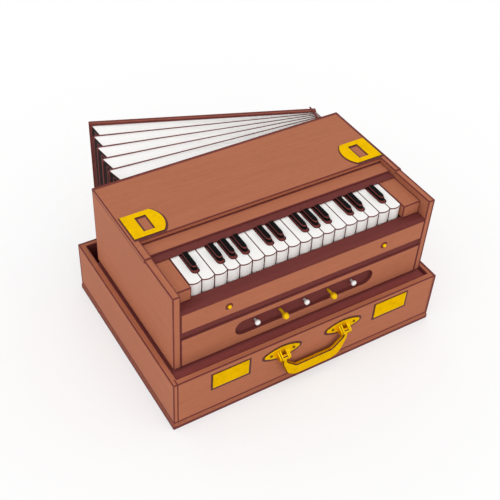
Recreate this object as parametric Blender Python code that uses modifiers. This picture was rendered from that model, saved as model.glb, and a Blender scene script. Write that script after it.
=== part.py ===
"""Portable hand-pumped harmonium, standing in the lower half of its travelling case.

Metres, +Z up, +X towards the high notes, the player sits at -Y. The origin is the centre of the
case's underside. Run with: blender --background --python part.py
"""

import math

import bmesh
import bpy
import numpy as np
from mathutils import Matrix

# Gap that touching pieces keep, and the gap of parts that run on each other
SEAT = 0.0003
RUN = 0.0003

# Rounding along the edges of boards and plates
BOARD_EDGE = 0.0006
PLATE_EDGE = 0.0004

# Body
BODY_WIDTH = 0.461
BODY_DEPTH = 0.2703
BODY_HEIGHT = 0.1493
CHEEK = 0.012
BACK_THICKNESS = 0.012

# Lower case, and the room that it leaves round the body
CASE_HEIGHT = 0.1015
CASE_WALL = 0.011
CASE_FLOOR = 0.009
FLOOR_PROUD = 0.0012
CORNER_LAP = 0.007
CLEAT = 0.012
SIDE_GAP = 0.0035
FRONT_GAP = 0.0162
REAR_WELL = 0.0385
BODY_LIFT = 0.0005

# Deck that the body stands on, inside the case
DECK_THICKNESS = 0.012
DECK_PLAY = 0.0006
DECK_STEP = 0.007
DECK_STEP_INSET = 0.006

# Top board with its ears, and the nameboard ledge below it
LID_THICKNESS = 0.008
LID_SETBACK = 0.1258
EAR_LENGTH = 0.039
EAR_STEP = 0.002
LEDGE_DEPTH = 0.027
LEDGE_THICKNESS = 0.0044
LEDGE_TUCK = 0.013

# Front of the body, from the bottom up
FRONT_BOARD_THICKNESS = 0.014
GROOVE_HEIGHT = 0.013
GROOVE_DEPTH = 0.0025
KEYSLIP_HEIGHT = 0.0385
KEYSLIP_THICKNESS = 0.010
KEYSLIP_ROUND = 0.0012
RAIL_THICKNESS = 0.008
RAIL_HEAD = 0.003
RAIL_HEAD_REACH = 0.0233
RAIL_CHAMFER = 0.0025

# Oval recess for the stops
OVAL_LENGTH = 0.255
OVAL_HEIGHT = 0.030
OVAL_DEPTH = 0.006
STOP_RAISE = 0.003
STOP_SPACING = 0.0446
STOP_COUNT = 5

# Stops
STOP_ROD_RADIUS = 0.0022
STOP_ROD_TAIL = 0.018
WHITE_KNOB_RADIUS = 0.0045
WHITE_KNOB_LENGTH = 0.0055
WHITE_COLLAR_RADIUS = 0.0033
WHITE_COLLAR = 0.0010
WHITE_REST = 0.0050
BRASS_KNOB_RADIUS = 0.0054
BRASS_EGG = 1.15
BRASS_REST = 0.0165
TURNED_STEPS = 16

# Keys
WHITE_COUNT = 18
BLACK_AFTER = (1, 3, 4, 5, 7, 8, 10, 11, 12, 14, 15, 17)
KEY_GAP = 0.0008
LOW_MARGIN = 0.0274
HIGH_MARGIN = 0.0334
KEY_DROP = 0.0135
KEY_SETBACK = 0.0242
KEY_BULGE = 0.0035
KEY_BULGE_POINTS = 7
KEY_EDGE = 0.0006
KEY_LEVER = 0.0158
LIP_HEIGHT = 0.0340
LIP_THICKNESS = 0.0060
PIVOT_BACK = 0.188
KEY_TAIL = 0.013
BLACK_SHARE = 0.603
BLACK_TOP_SHARE = 0.635
BLACK_RISE = 0.0085
BLACK_SETBACK = 0.0415
BLACK_CAP_END = 0.0803
BLACK_FRONT_SLOPE = 0.0060
BLACK_LEVER_BELOW = 0.0020
BLACK_NOSE = 0.8
BLACK_NOSE_POINTS = 5
NOTCH_POINTS = 4
BLACK_CLEAR = 0.0006

# Key blocks
BLOCK_SETBACK = 0.0185
BLOCK_RISE = 0.0003
BLOCK_HEIGHT = 0.0230

# Reed board with its pivot rail and down-stop rail
REED_BOARD_THICKNESS = 0.009
REED_BOARD_FRONT = 0.0375
PIVOT_RADIUS = 0.0040
PIVOT_HEIGHT = 0.0230
PIVOT_SIDES = 16
STOP_RAIL_WIDTH = 0.014
STOP_RAIL_HEIGHT = 0.0140
STOP_RAIL_FRONT = 0.0400

# Keyslip knobs
KNOB_RADIUS = 0.0036
KNOB_LENGTH = 0.0045
KNOB_NECK = 0.0022
KNOB_SPREAD = 0.2796

# D plates on the top board
PLATE_THICKNESS = 0.0015
D_HEIGHT = 0.053
D_STRAIGHT = 0.048
D_BULGE = 0.011
D_ARC_POINTS = 13
D_SIDE_INSET = 0.0065
D_FRONT_INSET = 0.0055
WINDOW_WIDTH = 0.0185
WINDOW_HEIGHT = 0.034
WINDOW_INSET = 0.0195

# Carrying handle
HANDLE_SPREAD = 0.115
HANDLE_BELOW_RIM = 0.030
HANDLE_STANDOFF = 0.0085
HANDLE_DROP = 0.039
HANDLE_GRIP = 0.078
HANDLE_HEIGHT = 0.0215
HANDLE_THICKNESS = 0.0076
HANDLE_SOFT = 0.0014
HANDLE_NECK = 0.012
HANDLE_NECK_RADIUS = 0.018
HANDLE_CORNER = 0.017
HANDLE_ARC_POINTS = 6
EYE_RADIUS = 0.0046
EYE_WIDTH = 0.0078
PIN_RADIUS = 0.0016
LUG_RADIUS = 0.0052
LUG_WIDTH = 0.0024
LUG_GROOVE = 0.0009
LUG_RIBS = 2
LUG_STEP = 0.0008
LUG_RISE = 0.0115
LEAF_LENGTH = 0.064
LEAF_HEIGHT = 0.021
LEAF_THICKNESS = 0.0022
LEAF_RISE = 0.0065
LEAF_POINTS = 9
LEAF_TIP = 0.0032
LEAF_TIP_POINTS = 5
ROUND_SIDES = 16

# Bellows: open angle at rest, folds, board and hinge
BELLOWS_ANGLE = math.radians(21.1)
FOLD_COUNT = 5
FOLD_DEPTH = 0.015
FOLD_SHEET = 0.0030
FREE_END_INSET = 0.0425
FOLD_TOP_BELOW = 0.0025
HINGE_INSET = 0.0275
HINGE_STANDOFF = 0.018
HINGE_GAP = 0.002
HINGE_KNUCKLE = 0.0017
BOARD_PROUD = 0.0045
BOARD_THICKNESS = 0.0095
BOARD_TOP_BELOW = 0.0010
BOARD_OVER_RIM = 0.0050
BATTEN_WIDTH = 0.0115
BATTEN_TOP_BELOW = 0.0165
INTAKE_RADIUS = 0.0055
INTAKE_SPACING = 0.019
INTAKE_COUNT = 5

# Places worked out from the sizes above
CASE_WIDTH = BODY_WIDTH + 2 * (SIDE_GAP + CASE_WALL)
CASE_DEPTH = FRONT_GAP + BODY_DEPTH + REAR_WELL + 2 * CASE_WALL
CASE_FRONT = -CASE_DEPTH / 2
BODY_FRONT = CASE_FRONT + CASE_WALL + FRONT_GAP
BODY_BACK = BODY_FRONT + BODY_DEPTH
BODY_BOTTOM = CASE_HEIGHT + BODY_LIFT
BODY_TOP = BODY_BOTTOM + BODY_HEIGHT
CHEEK_INNER = BODY_WIDTH / 2 - CHEEK
LID_UNDER = BODY_TOP - LID_THICKNESS
LID_FRONT = BODY_FRONT + LID_SETBACK
LEDGE_FRONT = LID_FRONT - LEDGE_DEPTH
LEDGE_TOP = LID_UNDER - SEAT
LEDGE_UNDER = LEDGE_TOP - LEDGE_THICKNESS
PANEL_FRONT = BODY_BACK - BACK_THICKNESS
KEY_TOP = BODY_TOP - KEY_DROP
KEY_UNDER = KEY_TOP - KEY_LEVER
KEY_FRONT = BODY_FRONT + KEY_SETBACK
PIVOT_Y = BODY_FRONT + PIVOT_BACK
KEY_BACK = PIVOT_Y + KEY_TAIL
KEYBOARD_LEFT = -CHEEK_INNER + LOW_MARGIN
KEYBOARD_RIGHT = CHEEK_INNER - HIGH_MARGIN
KEY_PITCH = (KEYBOARD_RIGHT - KEYBOARD_LEFT) / WHITE_COUNT
BLACK_WIDTH = KEY_PITCH * BLACK_SHARE
BLACK_FRONT = BODY_FRONT + BLACK_SETBACK
RAIL_TOP = KEY_TOP - BLOCK_HEIGHT
KEYSLIP_TOP = RAIL_TOP - RAIL_HEAD - SEAT
KEYSLIP_BOTTOM = KEYSLIP_TOP - KEYSLIP_HEIGHT
GROOVE_BOTTOM = KEYSLIP_BOTTOM - GROOVE_HEIGHT
STOP_Z = (BODY_BOTTOM + GROOVE_BOTTOM) / 2 + STOP_RAISE
REED_BOARD_TOP = KEY_UNDER - PIVOT_HEIGHT
DECK_TOP = BODY_BOTTOM - SEAT
DECK_BOTTOM = DECK_TOP - DECK_STEP - DECK_THICKNESS
HANDLE_Y = CASE_FRONT - HANDLE_STANDOFF
HANDLE_PIVOT_HEIGHT = CASE_HEIGHT - HANDLE_BELOW_RIM
HINGE_X = BODY_WIDTH / 2 - HINGE_INSET
HINGE_Y = BODY_BACK + HINGE_STANDOFF
FOLD_LENGTH = BODY_WIDTH - HINGE_INSET - HINGE_GAP - FREE_END_INSET
BOARD_LENGTH = FOLD_LENGTH + BOARD_PROUD
BOARD_BOTTOM = CASE_HEIGHT + BOARD_OVER_RIM

WOOD = ((0.434, 0.150, 0.080), 0.45, 0.0)
DARK_WOOD = ((0.162, 0.039, 0.035), 0.55, 0.0)
BRASS = ((0.887, 0.552, 0.005), 0.30, 1.0)
IVORY = ((0.900, 0.890, 0.860), 0.30, 0.0)
EBONY = ((0.010, 0.009, 0.009), 0.35, 0.0)
PLEAT_PAPER = ((0.880, 0.870, 0.830), 0.70, 0.0)


def clear_scene():
    for old in list(bpy.data.objects):
        bpy.data.objects.remove(old, do_unlink=True)


def new_collection(name):
    collection = bpy.data.collections.new(name)
    bpy.context.scene.collection.children.link(collection)
    return collection


clear_scene()
PARTS = new_collection("harmonium")
CUTTERS = new_collection("cutters")


def finish_for(name, look):
    colour, roughness, metallic = look
    material = bpy.data.materials.new(name)
    material.use_nodes = True
    shader = material.node_tree.nodes["Principled BSDF"]
    shader.inputs["Base Color"].default_value = (*colour, 1.0)
    shader.inputs["Roughness"].default_value = roughness
    shader.inputs["Metallic"].default_value = metallic
    material.diffuse_color = (*colour, 1.0)
    return material


def add_part(name, mesh, look, parent=None):
    """Links a mesh as a named part, with its own material, under an empty where it moves."""
    part = bpy.data.objects.new(name, mesh)
    PARTS.objects.link(part)
    if not mesh.materials:
        mesh.materials.append(finish_for(name, look))
    if parent:
        part.parent = parent
    return part


def add_cutter(name, mesh):
    cutter = bpy.data.objects.new(name, mesh)
    CUTTERS.objects.link(cutter)
    cutter.hide_render = True
    cutter.display_type = "WIRE"
    return cutter


def add_axis(name, place):
    """An empty on a joint's axis, which carries the piece that moves."""
    axis = bpy.data.objects.new(name, None)
    PARTS.objects.link(axis)
    axis.location = place
    axis.empty_display_size = 0.02
    return axis


def boolean(part, cutter, operation="DIFFERENCE"):
    modifier = part.modifiers.new(cutter.name, "BOOLEAN")
    modifier.object = cutter
    modifier.operation = operation


def bevel(part, width, segments=1):
    modifier = part.modifiers.new("rounded edges", "BEVEL")
    modifier.width = width
    modifier.segments = segments
    modifier.limit_method = "ANGLE"
    modifier.angle_limit = math.radians(50)


def mesh_from(bm, name):
    bmesh.ops.recalc_face_normals(bm, faces=bm.faces)
    mesh = bpy.data.meshes.new(name)
    bm.to_mesh(mesh)
    bm.free()
    return mesh


def box_mesh(name, low, high):
    bm = bmesh.new()
    bmesh.ops.create_cube(bm, size=1.0)
    size = [b - a for a, b in zip(low, high)]
    middle = [(a + b) / 2 for a, b in zip(low, high)]
    bmesh.ops.scale(bm, vec=size, verts=bm.verts)
    bmesh.ops.translate(bm, vec=middle, verts=bm.verts)
    return mesh_from(bm, name)


# Stands a rod that lies along X upright
UPRIGHT = Matrix.Rotation(-math.pi / 2, 4, "Y")


def rod_mesh(name, radius, low_x, high_x, y, z, sides=ROUND_SIDES):
    """A cylinder along X."""
    bm = bmesh.new()
    turn = Matrix.Rotation(math.pi / 2, 4, "Y")
    place = Matrix.Translation(((low_x + high_x) / 2, y, z)) @ turn
    bmesh.ops.create_cone(
        bm, cap_ends=True, segments=sides, radius1=radius, radius2=radius,
        depth=high_x - low_x, matrix=place,
    )
    return mesh_from(bm, name)


def mesh_of_object(source):
    """The evaluated mesh of a curve or modified helper, welded, and the helper removed."""
    bpy.context.view_layer.update()
    graph = bpy.context.evaluated_depsgraph_get()
    mesh = bpy.data.meshes.new_from_object(source.evaluated_get(graph))
    mesh.transform(source.matrix_world)
    mesh.name = source.name
    bpy.data.objects.remove(source)
    bm = bmesh.new()
    bm.from_mesh(mesh)
    bmesh.ops.remove_doubles(bm, verts=bm.verts, dist=0.000005)
    bmesh.ops.recalc_face_normals(bm, faces=bm.faces)
    bm.to_mesh(mesh)
    bm.free()
    return mesh


# Where a flat outline's own X and Y lie, and which way it is thick
OUTLINE_PLANES = {
    "XY": Matrix.Identity(4),
    "XZ": Matrix(((1, 0, 0, 0), (0, 0, 1, 0), (0, 1, 0, 0), (0, 0, 0, 1))),
    "YZ": Matrix(((0, 0, 1, 0), (1, 0, 0, 0), (0, 1, 0, 0), (0, 0, 0, 1))),
}


def outline_mesh(name, loops, plane, low, high, soft=0.0):
    """A flat outline, with its holes, given thickness from low to high across its plane."""
    curve = bpy.data.curves.new(name, "CURVE")
    curve.dimensions = "2D"
    curve.fill_mode = "BOTH"
    curve.extrude = (high - low) / 2 - soft
    curve.bevel_depth = soft
    curve.bevel_resolution = 0
    curve.offset = -soft
    for loop in loops:
        spline = curve.splines.new("POLY")
        spline.points.add(len(loop) - 1)
        for point, (u, v) in zip(spline.points, loop):
            point.co = (u, v, 0, 1)
        spline.use_cyclic_u = True
    helper = bpy.data.objects.new(name, curve)
    CUTTERS.objects.link(helper)
    helper.matrix_world = OUTLINE_PLANES[plane] @ Matrix.Translation((0, 0, (low + high) / 2))
    return mesh_of_object(helper)


def turned_mesh(name, profile, place):
    """A turned shape along -Y: profile holds (distance out from place, radius), tip first."""
    bm = bmesh.new()
    points = [bm.verts.new((radius, 0, distance)) for distance, radius in profile]
    for first, second in zip(points, points[1:]):
        bm.edges.new((first, second))
    mesh = bpy.data.meshes.new(name)
    bm.to_mesh(mesh)
    bm.free()
    helper = bpy.data.objects.new(name, mesh)
    CUTTERS.objects.link(helper)
    screw = helper.modifiers.new("turn", "SCREW")
    screw.steps = TURNED_STEPS
    screw.render_steps = TURNED_STEPS
    screw.use_merge_vertices = True
    screw.merge_threshold = 0.00001
    helper.matrix_world = Matrix.Translation(place) @ Matrix.Rotation(math.pi / 2, 4, "X")
    return mesh_of_object(helper)


def smooth(part):
    part.data.shade_smooth()
    part.data.set_sharp_from_angle(angle=math.radians(35))
    return part


def arc(centre, radius, start, end, points):
    angles = np.linspace(start, end, points)
    return [(centre[0] + radius * math.cos(a), centre[1] + radius * math.sin(a)) for a in angles]


def bowed_side(start, end, bow, points):
    """An arc from start to end that bulges by bow, to the right of the way it runs."""
    (ax, ay), (bx, by) = start, end
    chord = math.hypot(bx - ax, by - ay)
    radius = (chord * chord / 4 + bow * bow) / (2 * bow)
    half = math.asin(chord / 2 / radius)
    along = math.atan2(by - ay, bx - ax)
    middle = ((ax + bx) / 2, (ay + by) / 2)
    depth = radius - bow
    centre = (middle[0] - depth * math.sin(along), middle[1] + depth * math.cos(along))
    first = along - math.pi / 2 - half
    return arc(centre, radius, first, first + 2 * half, points)


def make_case():
    """Floor board and a ring of four walls, with cleats that carry the deck."""
    half_w = CASE_WIDTH / 2
    half_d = CASE_DEPTH / 2
    floor = add_part("case_floor", box_mesh(
        "case_floor", (-half_w - FLOOR_PROUD, -half_d - FLOOR_PROUD, 0),
        (half_w + FLOOR_PROUD, half_d + FLOOR_PROUD, CASE_FLOOR)), DARK_WOOD)
    bevel(floor, FLOOR_PROUD / 2)
    bottom = CASE_FLOOR + SEAT
    outer = [(-half_w, -half_d), (half_w, -half_d), (half_w, half_d), (-half_w, half_d)]
    inner_w = half_w - CASE_WALL
    inner_d = half_d - CASE_WALL
    inner = [(-inner_w, -inner_d), (inner_w, -inner_d), (inner_w, inner_d), (-inner_w, inner_d)]
    walls = add_part("case_walls", outline_mesh("case_walls", [outer, inner], "XY", bottom,
                                                CASE_HEIGHT, BOARD_EDGE), WOOD)
    make_cleats(walls, inner_w, inner_d)
    make_corner_laps(walls, half_w, half_d)


def make_cleats(walls, inner_w, inner_d):
    """A ledge along each side wall and the front one, under the deck."""
    top = DECK_BOTTOM - SEAT
    front = -inner_d - CASE_WALL / 2
    spans = {
        "cleat_left": (-inner_w - CASE_WALL / 2, -inner_w + CLEAT, front, BODY_BACK),
        "cleat_right": (inner_w - CLEAT, inner_w + CASE_WALL / 2, front, BODY_BACK),
        "cleat_front": (-inner_w + CLEAT / 2, inner_w - CLEAT / 2, front, -inner_d + CLEAT),
    }
    for name, (low_x, high_x, low_y, high_y) in spans.items():
        cleat = add_cutter(name, box_mesh(name, (low_x, low_y, top - CLEAT),
                                          (high_x, high_y, top)))
        boolean(walls, cleat, "UNION")


def make_corner_laps(walls, half_w, half_d):
    """The thin lines where the front and back boards lap over the side boards."""
    line = 0.0006
    depth = 0.0008
    for side in (-1, 1):
        for end in (-1, 1):
            x = side * (half_w - CORNER_LAP)
            y = end * half_d
            name = f"corner_line_{side}_{end}"
            mesh = box_mesh(name, (x - line / 2, y - depth, CASE_FLOOR),
                            (x + line / 2, y + depth, CASE_HEIGHT + depth))
            boolean(walls, add_cutter(name, mesh))


def make_deck():
    """The dark deck inside the case, with the raised step that the body stands on."""
    half_w = CASE_WIDTH / 2 - CASE_WALL - DECK_PLAY
    front = CASE_FRONT + CASE_WALL + DECK_PLAY
    step_top = DECK_BOTTOM + DECK_THICKNESS
    board = box_mesh("deck", (-half_w, front, DECK_BOTTOM), (half_w, BODY_BACK, step_top))
    deck = add_part("deck", board, DARK_WOOD)
    step_half = BODY_WIDTH / 2 - DECK_STEP_INSET
    step = box_mesh("deck_step", (-step_half, BODY_FRONT + DECK_STEP_INSET, DECK_BOTTOM + 0.002),
                    (step_half, BODY_BACK - DECK_STEP_INSET, DECK_TOP))
    boolean(deck, add_cutter("deck_step", step), "UNION")


def make_cheeks():
    """Side boards of the body: higher in front of the top board's ears than under them."""
    step_y = LID_FRONT - EAR_LENGTH
    outline = [
        (BODY_FRONT, BODY_BOTTOM), (BODY_BACK, BODY_BOTTOM), (BODY_BACK, LID_UNDER - SEAT),
        (step_y - SEAT, LID_UNDER - SEAT), (step_y - SEAT, BODY_TOP - EAR_STEP),
        (BODY_FRONT, BODY_TOP - EAR_STEP),
    ]
    for name, low in (("cheek_left", -BODY_WIDTH / 2), ("cheek_right", CHEEK_INNER)):
        mesh = outline_mesh(name, [outline], "YZ", low, low + CHEEK, BOARD_EDGE)
        add_part(name, mesh, WOOD)


def make_lid():
    """Top board, as wide as the body, with an ear that runs forward over each cheek."""
    half = BODY_WIDTH / 2
    ear = CHEEK
    ear_front = LID_FRONT - EAR_LENGTH
    outline = [
        (-half, ear_front), (-half + ear, ear_front), (-half + ear, LID_FRONT),
        (half - ear, LID_FRONT), (half - ear, ear_front), (half, ear_front),
        (half, BODY_BACK), (-half, BODY_BACK),
    ]
    mesh = outline_mesh("lid", [outline], "XY", LID_UNDER, BODY_TOP, BOARD_EDGE)
    add_part("lid", mesh, WOOD)


def make_nameboard():
    half = CHEEK_INNER - SEAT
    mesh = box_mesh("nameboard", (-half, LEDGE_FRONT, LEDGE_UNDER),
                    (half, LID_FRONT + LEDGE_TUCK, LEDGE_TOP))
    bevel(add_part("nameboard", mesh, WOOD), BOARD_EDGE)


def make_front_board():
    """Lower front board with the oval recess and a hole for each stop's rod."""
    half = CHEEK_INNER - SEAT
    mesh = box_mesh("front_board", (-half, BODY_FRONT, BODY_BOTTOM),
                    (half, BODY_FRONT + FRONT_BOARD_THICKNESS, GROOVE_BOTTOM))
    board = add_part("front_board", mesh, WOOD)
    bevel(board, BOARD_EDGE)
    end = OVAL_HEIGHT / 2
    reach = OVAL_LENGTH / 2 - end
    oval = arc((reach, STOP_Z), end, -math.pi / 2, math.pi / 2, 11)
    oval += arc((-reach, STOP_Z), end, math.pi / 2, 3 * math.pi / 2, 11)
    recess = outline_mesh("oval_recess", [oval], "XZ", BODY_FRONT - OVAL_DEPTH,
                          BODY_FRONT + OVAL_DEPTH)
    boolean(board, add_cutter("oval_recess", recess))
    for index in range(STOP_COUNT):
        name = f"stop_hole_{index + 1}"
        ring = arc((stop_x(index), STOP_Z), STOP_ROD_RADIUS + RUN, 0,
                   2 * math.pi * (1 - 1 / TURNED_STEPS), TURNED_STEPS)
        hole = outline_mesh(name, [ring], "XZ", BODY_FRONT,
                            BODY_FRONT + 2 * FRONT_BOARD_THICKNESS)
        boolean(board, add_cutter(name, hole))


def stop_x(index):
    return (index - (STOP_COUNT - 1) / 2) * STOP_SPACING


def ball_profile(face, radius, neck_radius, points, stretch=1.0):
    """Half a ball, or an egg where stretched, from its tip round to where it meets its neck."""
    last = math.pi - math.asin(neck_radius / radius)
    return [(face - radius * stretch * (1 - math.cos(a)), radius * math.sin(a))
            for a in np.linspace(0, last, points)]


def button_profile(face, base):
    """A flat-faced button with a rounded rim and a thin collar behind it."""
    radius = WHITE_KNOB_RADIUS
    back = base + WHITE_COLLAR
    return [(face, 0), (face - radius * 0.06, radius * 0.5), (face - radius * 0.22, radius * 0.85),
            (face - radius * 0.45, radius), (back + radius * 0.1, radius),
            (back, radius * 0.9), (back, WHITE_COLLAR_RADIUS), (base, WHITE_COLLAR_RADIUS),
            (base, STOP_ROD_RADIUS)]


def make_stops():
    """Turned draw stops: white buttons pushed in, brass balls pulled out."""
    for index in range(STOP_COUNT):
        if index % 2:
            kind, look = "brass", BRASS
            profile = ball_profile(OVAL_DEPTH + BRASS_REST, BRASS_KNOB_RADIUS,
                                   STOP_ROD_RADIUS, 9, BRASS_EGG)
        else:
            kind, look = "white", IVORY
            face = OVAL_DEPTH + WHITE_REST
            profile = button_profile(face, face - WHITE_KNOB_LENGTH)
        profile += [(-STOP_ROD_TAIL, STOP_ROD_RADIUS), (-STOP_ROD_TAIL, 0)]
        name = f"stop_{kind}_{index + 1}"
        axis = add_axis(f"axis_of_{name}", (stop_x(index), BODY_FRONT + OVAL_DEPTH, STOP_Z))
        smooth(add_part(name, turned_mesh(name, profile, (0, 0, 0)), look, axis))


def make_keyslip():
    """Board in front of the keys' lower half, with two small turned knobs."""
    half = CHEEK_INNER - SEAT
    mesh = box_mesh("keyslip", (-half, BODY_FRONT, KEYSLIP_BOTTOM),
                    (half, BODY_FRONT + KEYSLIP_THICKNESS, KEYSLIP_TOP))
    slip = add_part("keyslip", mesh, WOOD)
    bevel(slip, KEYSLIP_ROUND, 2)
    middle = (KEYSLIP_BOTTOM + KEYSLIP_TOP) / 2
    profile = ball_profile(KNOB_LENGTH, KNOB_RADIUS, KNOB_NECK, 7)
    profile += [(-KEYSLIP_THICKNESS / 2, KNOB_NECK), (-KEYSLIP_THICKNESS / 2, 0)]
    for name, side in (("knob_left", -1), ("knob_right", 1)):
        place = (side * KNOB_SPREAD / 2, BODY_FRONT, middle)
        boolean(slip, add_cutter(name, turned_mesh(name, profile, place)), "UNION")


def make_key_rail():
    """Dark rail: a foot that shows in the groove, a stem behind the keyslip, a head over it."""
    foot = BODY_FRONT + GROOVE_DEPTH
    stem = BODY_FRONT + KEYSLIP_THICKNESS + SEAT
    back = stem + RAIL_THICKNESS
    under = KEYSLIP_TOP + SEAT
    head = BODY_FRONT + 0.0008
    outline = [
        (foot, GROOVE_BOTTOM + SEAT), (back, GROOVE_BOTTOM + SEAT), (back, under),
        (BODY_FRONT + RAIL_HEAD_REACH, under), (BODY_FRONT + RAIL_HEAD_REACH, RAIL_TOP),
        (head + 2 * RAIL_CHAMFER, RAIL_TOP), (head, RAIL_TOP - RAIL_CHAMFER), (head, under),
        (stem, under), (stem, KEYSLIP_BOTTOM - SEAT), (foot, KEYSLIP_BOTTOM - SEAT),
    ]
    half = CHEEK_INNER - SEAT
    add_part("key_rail", outline_mesh("key_rail", [outline], "YZ", -half, half), DARK_WOOD)


def make_key_blocks():
    """Plain blocks that fill the space between the end keys and the cheeks."""
    half = CHEEK_INNER - SEAT
    spans = {
        "key_block_left": (-half, KEYBOARD_LEFT - KEY_GAP / 2),
        "key_block_right": (KEYBOARD_RIGHT + KEY_GAP / 2, half),
    }
    for name, (low, high) in spans.items():
        mesh = box_mesh(name, (low, BODY_FRONT + BLOCK_SETBACK, RAIL_TOP + SEAT),
                        (high, LID_FRONT + LEDGE_TUCK, KEY_TOP + BLOCK_RISE))
        bevel(add_part(name, mesh, WOOD), BOARD_EDGE)


def make_back_panel():
    """Back of the body, with the upright batten and the knuckle that the bellows turn on."""
    half = CHEEK_INNER - SEAT
    mesh = box_mesh("back_panel", (-half, PANEL_FRONT, BODY_BOTTOM),
                    (half, BODY_BACK, LID_UNDER - SEAT))
    panel = add_part("back_panel", mesh, WOOD)
    low_x = HINGE_X + HINGE_GAP
    top = BODY_TOP - BATTEN_TOP_BELOW
    batten = box_mesh("hinge_batten", (low_x, BODY_BACK - CHEEK / 2, BOARD_BOTTOM),
                      (low_x + BATTEN_WIDTH, HINGE_Y - 2 * SEAT, top))
    boolean(panel, add_cutter("hinge_batten", batten), "UNION")
    boolean(panel, add_cutter("hinge_web", box_mesh(
        "hinge_web", (HINGE_X, HINGE_Y - HINGE_KNUCKLE, BOARD_BOTTOM + BOARD_EDGE),
        (low_x + BATTEN_WIDTH / 2, HINGE_Y - 3 * SEAT, top - SEAT))), "UNION")
    knuckle = rod_mesh("hinge_knuckle", HINGE_KNUCKLE, BOARD_BOTTOM, top, 0, 0)
    knuckle.transform(Matrix.Translation((HINGE_X, HINGE_Y, 0)) @ UPRIGHT)
    boolean(panel, add_cutter("hinge_knuckle", knuckle), "UNION")


def make_reed_board():
    """Board under the keys, with the rail that they pivot on and the rail that stops them."""
    half = CHEEK_INNER - SEAT
    front = BODY_FRONT + REED_BOARD_FRONT
    stop_front = BODY_FRONT + STOP_RAIL_FRONT
    bottom = REED_BOARD_TOP - REED_BOARD_THICKNESS
    outline = [(front, bottom), (PANEL_FRONT - SEAT, bottom), (PANEL_FRONT - SEAT, REED_BOARD_TOP)]
    outline += [(PIVOT_Y + PIVOT_RADIUS, REED_BOARD_TOP)]
    outline += arc((PIVOT_Y, KEY_UNDER), PIVOT_RADIUS, 0, math.pi, PIVOT_SIDES // 2 + 1)
    outline += [
        (PIVOT_Y - PIVOT_RADIUS, REED_BOARD_TOP),
        (stop_front + STOP_RAIL_WIDTH, REED_BOARD_TOP),
        (stop_front + STOP_RAIL_WIDTH, REED_BOARD_TOP + STOP_RAIL_HEIGHT),
        (stop_front, REED_BOARD_TOP + STOP_RAIL_HEIGHT), (stop_front, REED_BOARD_TOP),
        (front, REED_BOARD_TOP),
    ]
    add_part("reed_board", outline_mesh("reed_board", [outline], "YZ", -half, half), DARK_WOOD)


def split_and_extrude(bm, y, z, height, front):
    """Cuts the flat face at level z across y, and extrudes its front or back part by height."""
    geometry = bm.verts[:] + bm.edges[:] + bm.faces[:]
    bmesh.ops.bisect_plane(bm, geom=geometry, plane_co=(0, y, 0), plane_no=(0, 1, 0))
    bm.normal_update()
    chosen = [
        face for face in bm.faces
        if abs(face.normal.z) > 0.9 and abs(face.calc_center_median().z - z) < 1e-6
        and (face.calc_center_median().y < y) == front
    ]
    grown = bmesh.ops.extrude_face_region(bm, geom=chosen)["geom"]
    bmesh.ops.delete(bm, geom=chosen, context="FACES_ONLY")
    tips = [item for item in grown if isinstance(item, bmesh.types.BMVert)]
    bmesh.ops.translate(bm, vec=(0, 0, height), verts=tips)
    return tips


def key_prism(outline, low, high):
    bm = bmesh.new()
    face = bm.faces.new([bm.verts.new((x, y, low)) for x, y in outline])
    grown = bmesh.ops.extrude_face_region(bm, geom=[face])["geom"]
    tips = [item for item in grown if isinstance(item, bmesh.types.BMVert)]
    bmesh.ops.translate(bm, vec=(0, 0, high - low), verts=tips)
    bmesh.ops.recalc_face_normals(bm, faces=bm.faces)
    return bm


def notch_end(side):
    """Where a white key clears the nose of the black key beside it, from its own edge in."""
    nose = BLACK_WIDTH / 2 * (1 + BLACK_NOSE ** 2) / (2 * BLACK_NOSE)
    radius = nose + BLACK_CLEAR
    first = math.asin(KEY_GAP / 2 / radius)
    last = math.asin((BLACK_WIDTH / 2 + BLACK_CLEAR) / radius)
    return [(side * (KEY_PITCH / 2 - radius * math.sin(a)),
             BLACK_FRONT + nose - radius * math.cos(a))
            for a in np.linspace(first, last, NOTCH_POINTS)]


def white_outline(black_left, black_right):
    """Plan of a white key about its own middle: bowed front, and room for the black keys."""
    half = (KEY_PITCH - KEY_GAP) / 2
    notch = KEY_PITCH / 2 - BLACK_WIDTH / 2 - BLACK_CLEAR
    corner = KEY_FRONT + KEY_BULGE
    outline = bowed_side((-half, corner), (half, corner), KEY_BULGE, KEY_BULGE_POINTS)
    if black_right:
        outline += notch_end(1) + [(notch, KEY_BACK)]
    else:
        outline += [(half, KEY_BACK)]
    if black_left:
        outline += [(-notch, KEY_BACK)] + notch_end(-1)[::-1]
    else:
        outline += [(-half, KEY_BACK)]
    return outline


def white_mesh(name, black_left, black_right):
    """A white key: long lever, deep front lip, softened upper edges."""
    bm = key_prism(white_outline(black_left, black_right), KEY_UNDER, KEY_TOP)
    lip_back = KEY_FRONT + KEY_BULGE + LIP_THICKNESS
    split_and_extrude(bm, lip_back, KEY_UNDER, KEY_LEVER - LIP_HEIGHT, True)
    level = KEY_TOP - 1e-6
    rim = [
        edge for edge in bm.edges
        if all(v.co.z > level for v in edge.verts) and edge.calc_face_angle(0) > 1.0
        and all(v.co.y < LEDGE_FRONT for v in edge.verts)
    ]
    bmesh.ops.bevel(bm, geom=rim, offset=KEY_EDGE, segments=1, profile=0.5, affect="EDGES",
                    material=-1)
    return mesh_from(bm, name)


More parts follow.
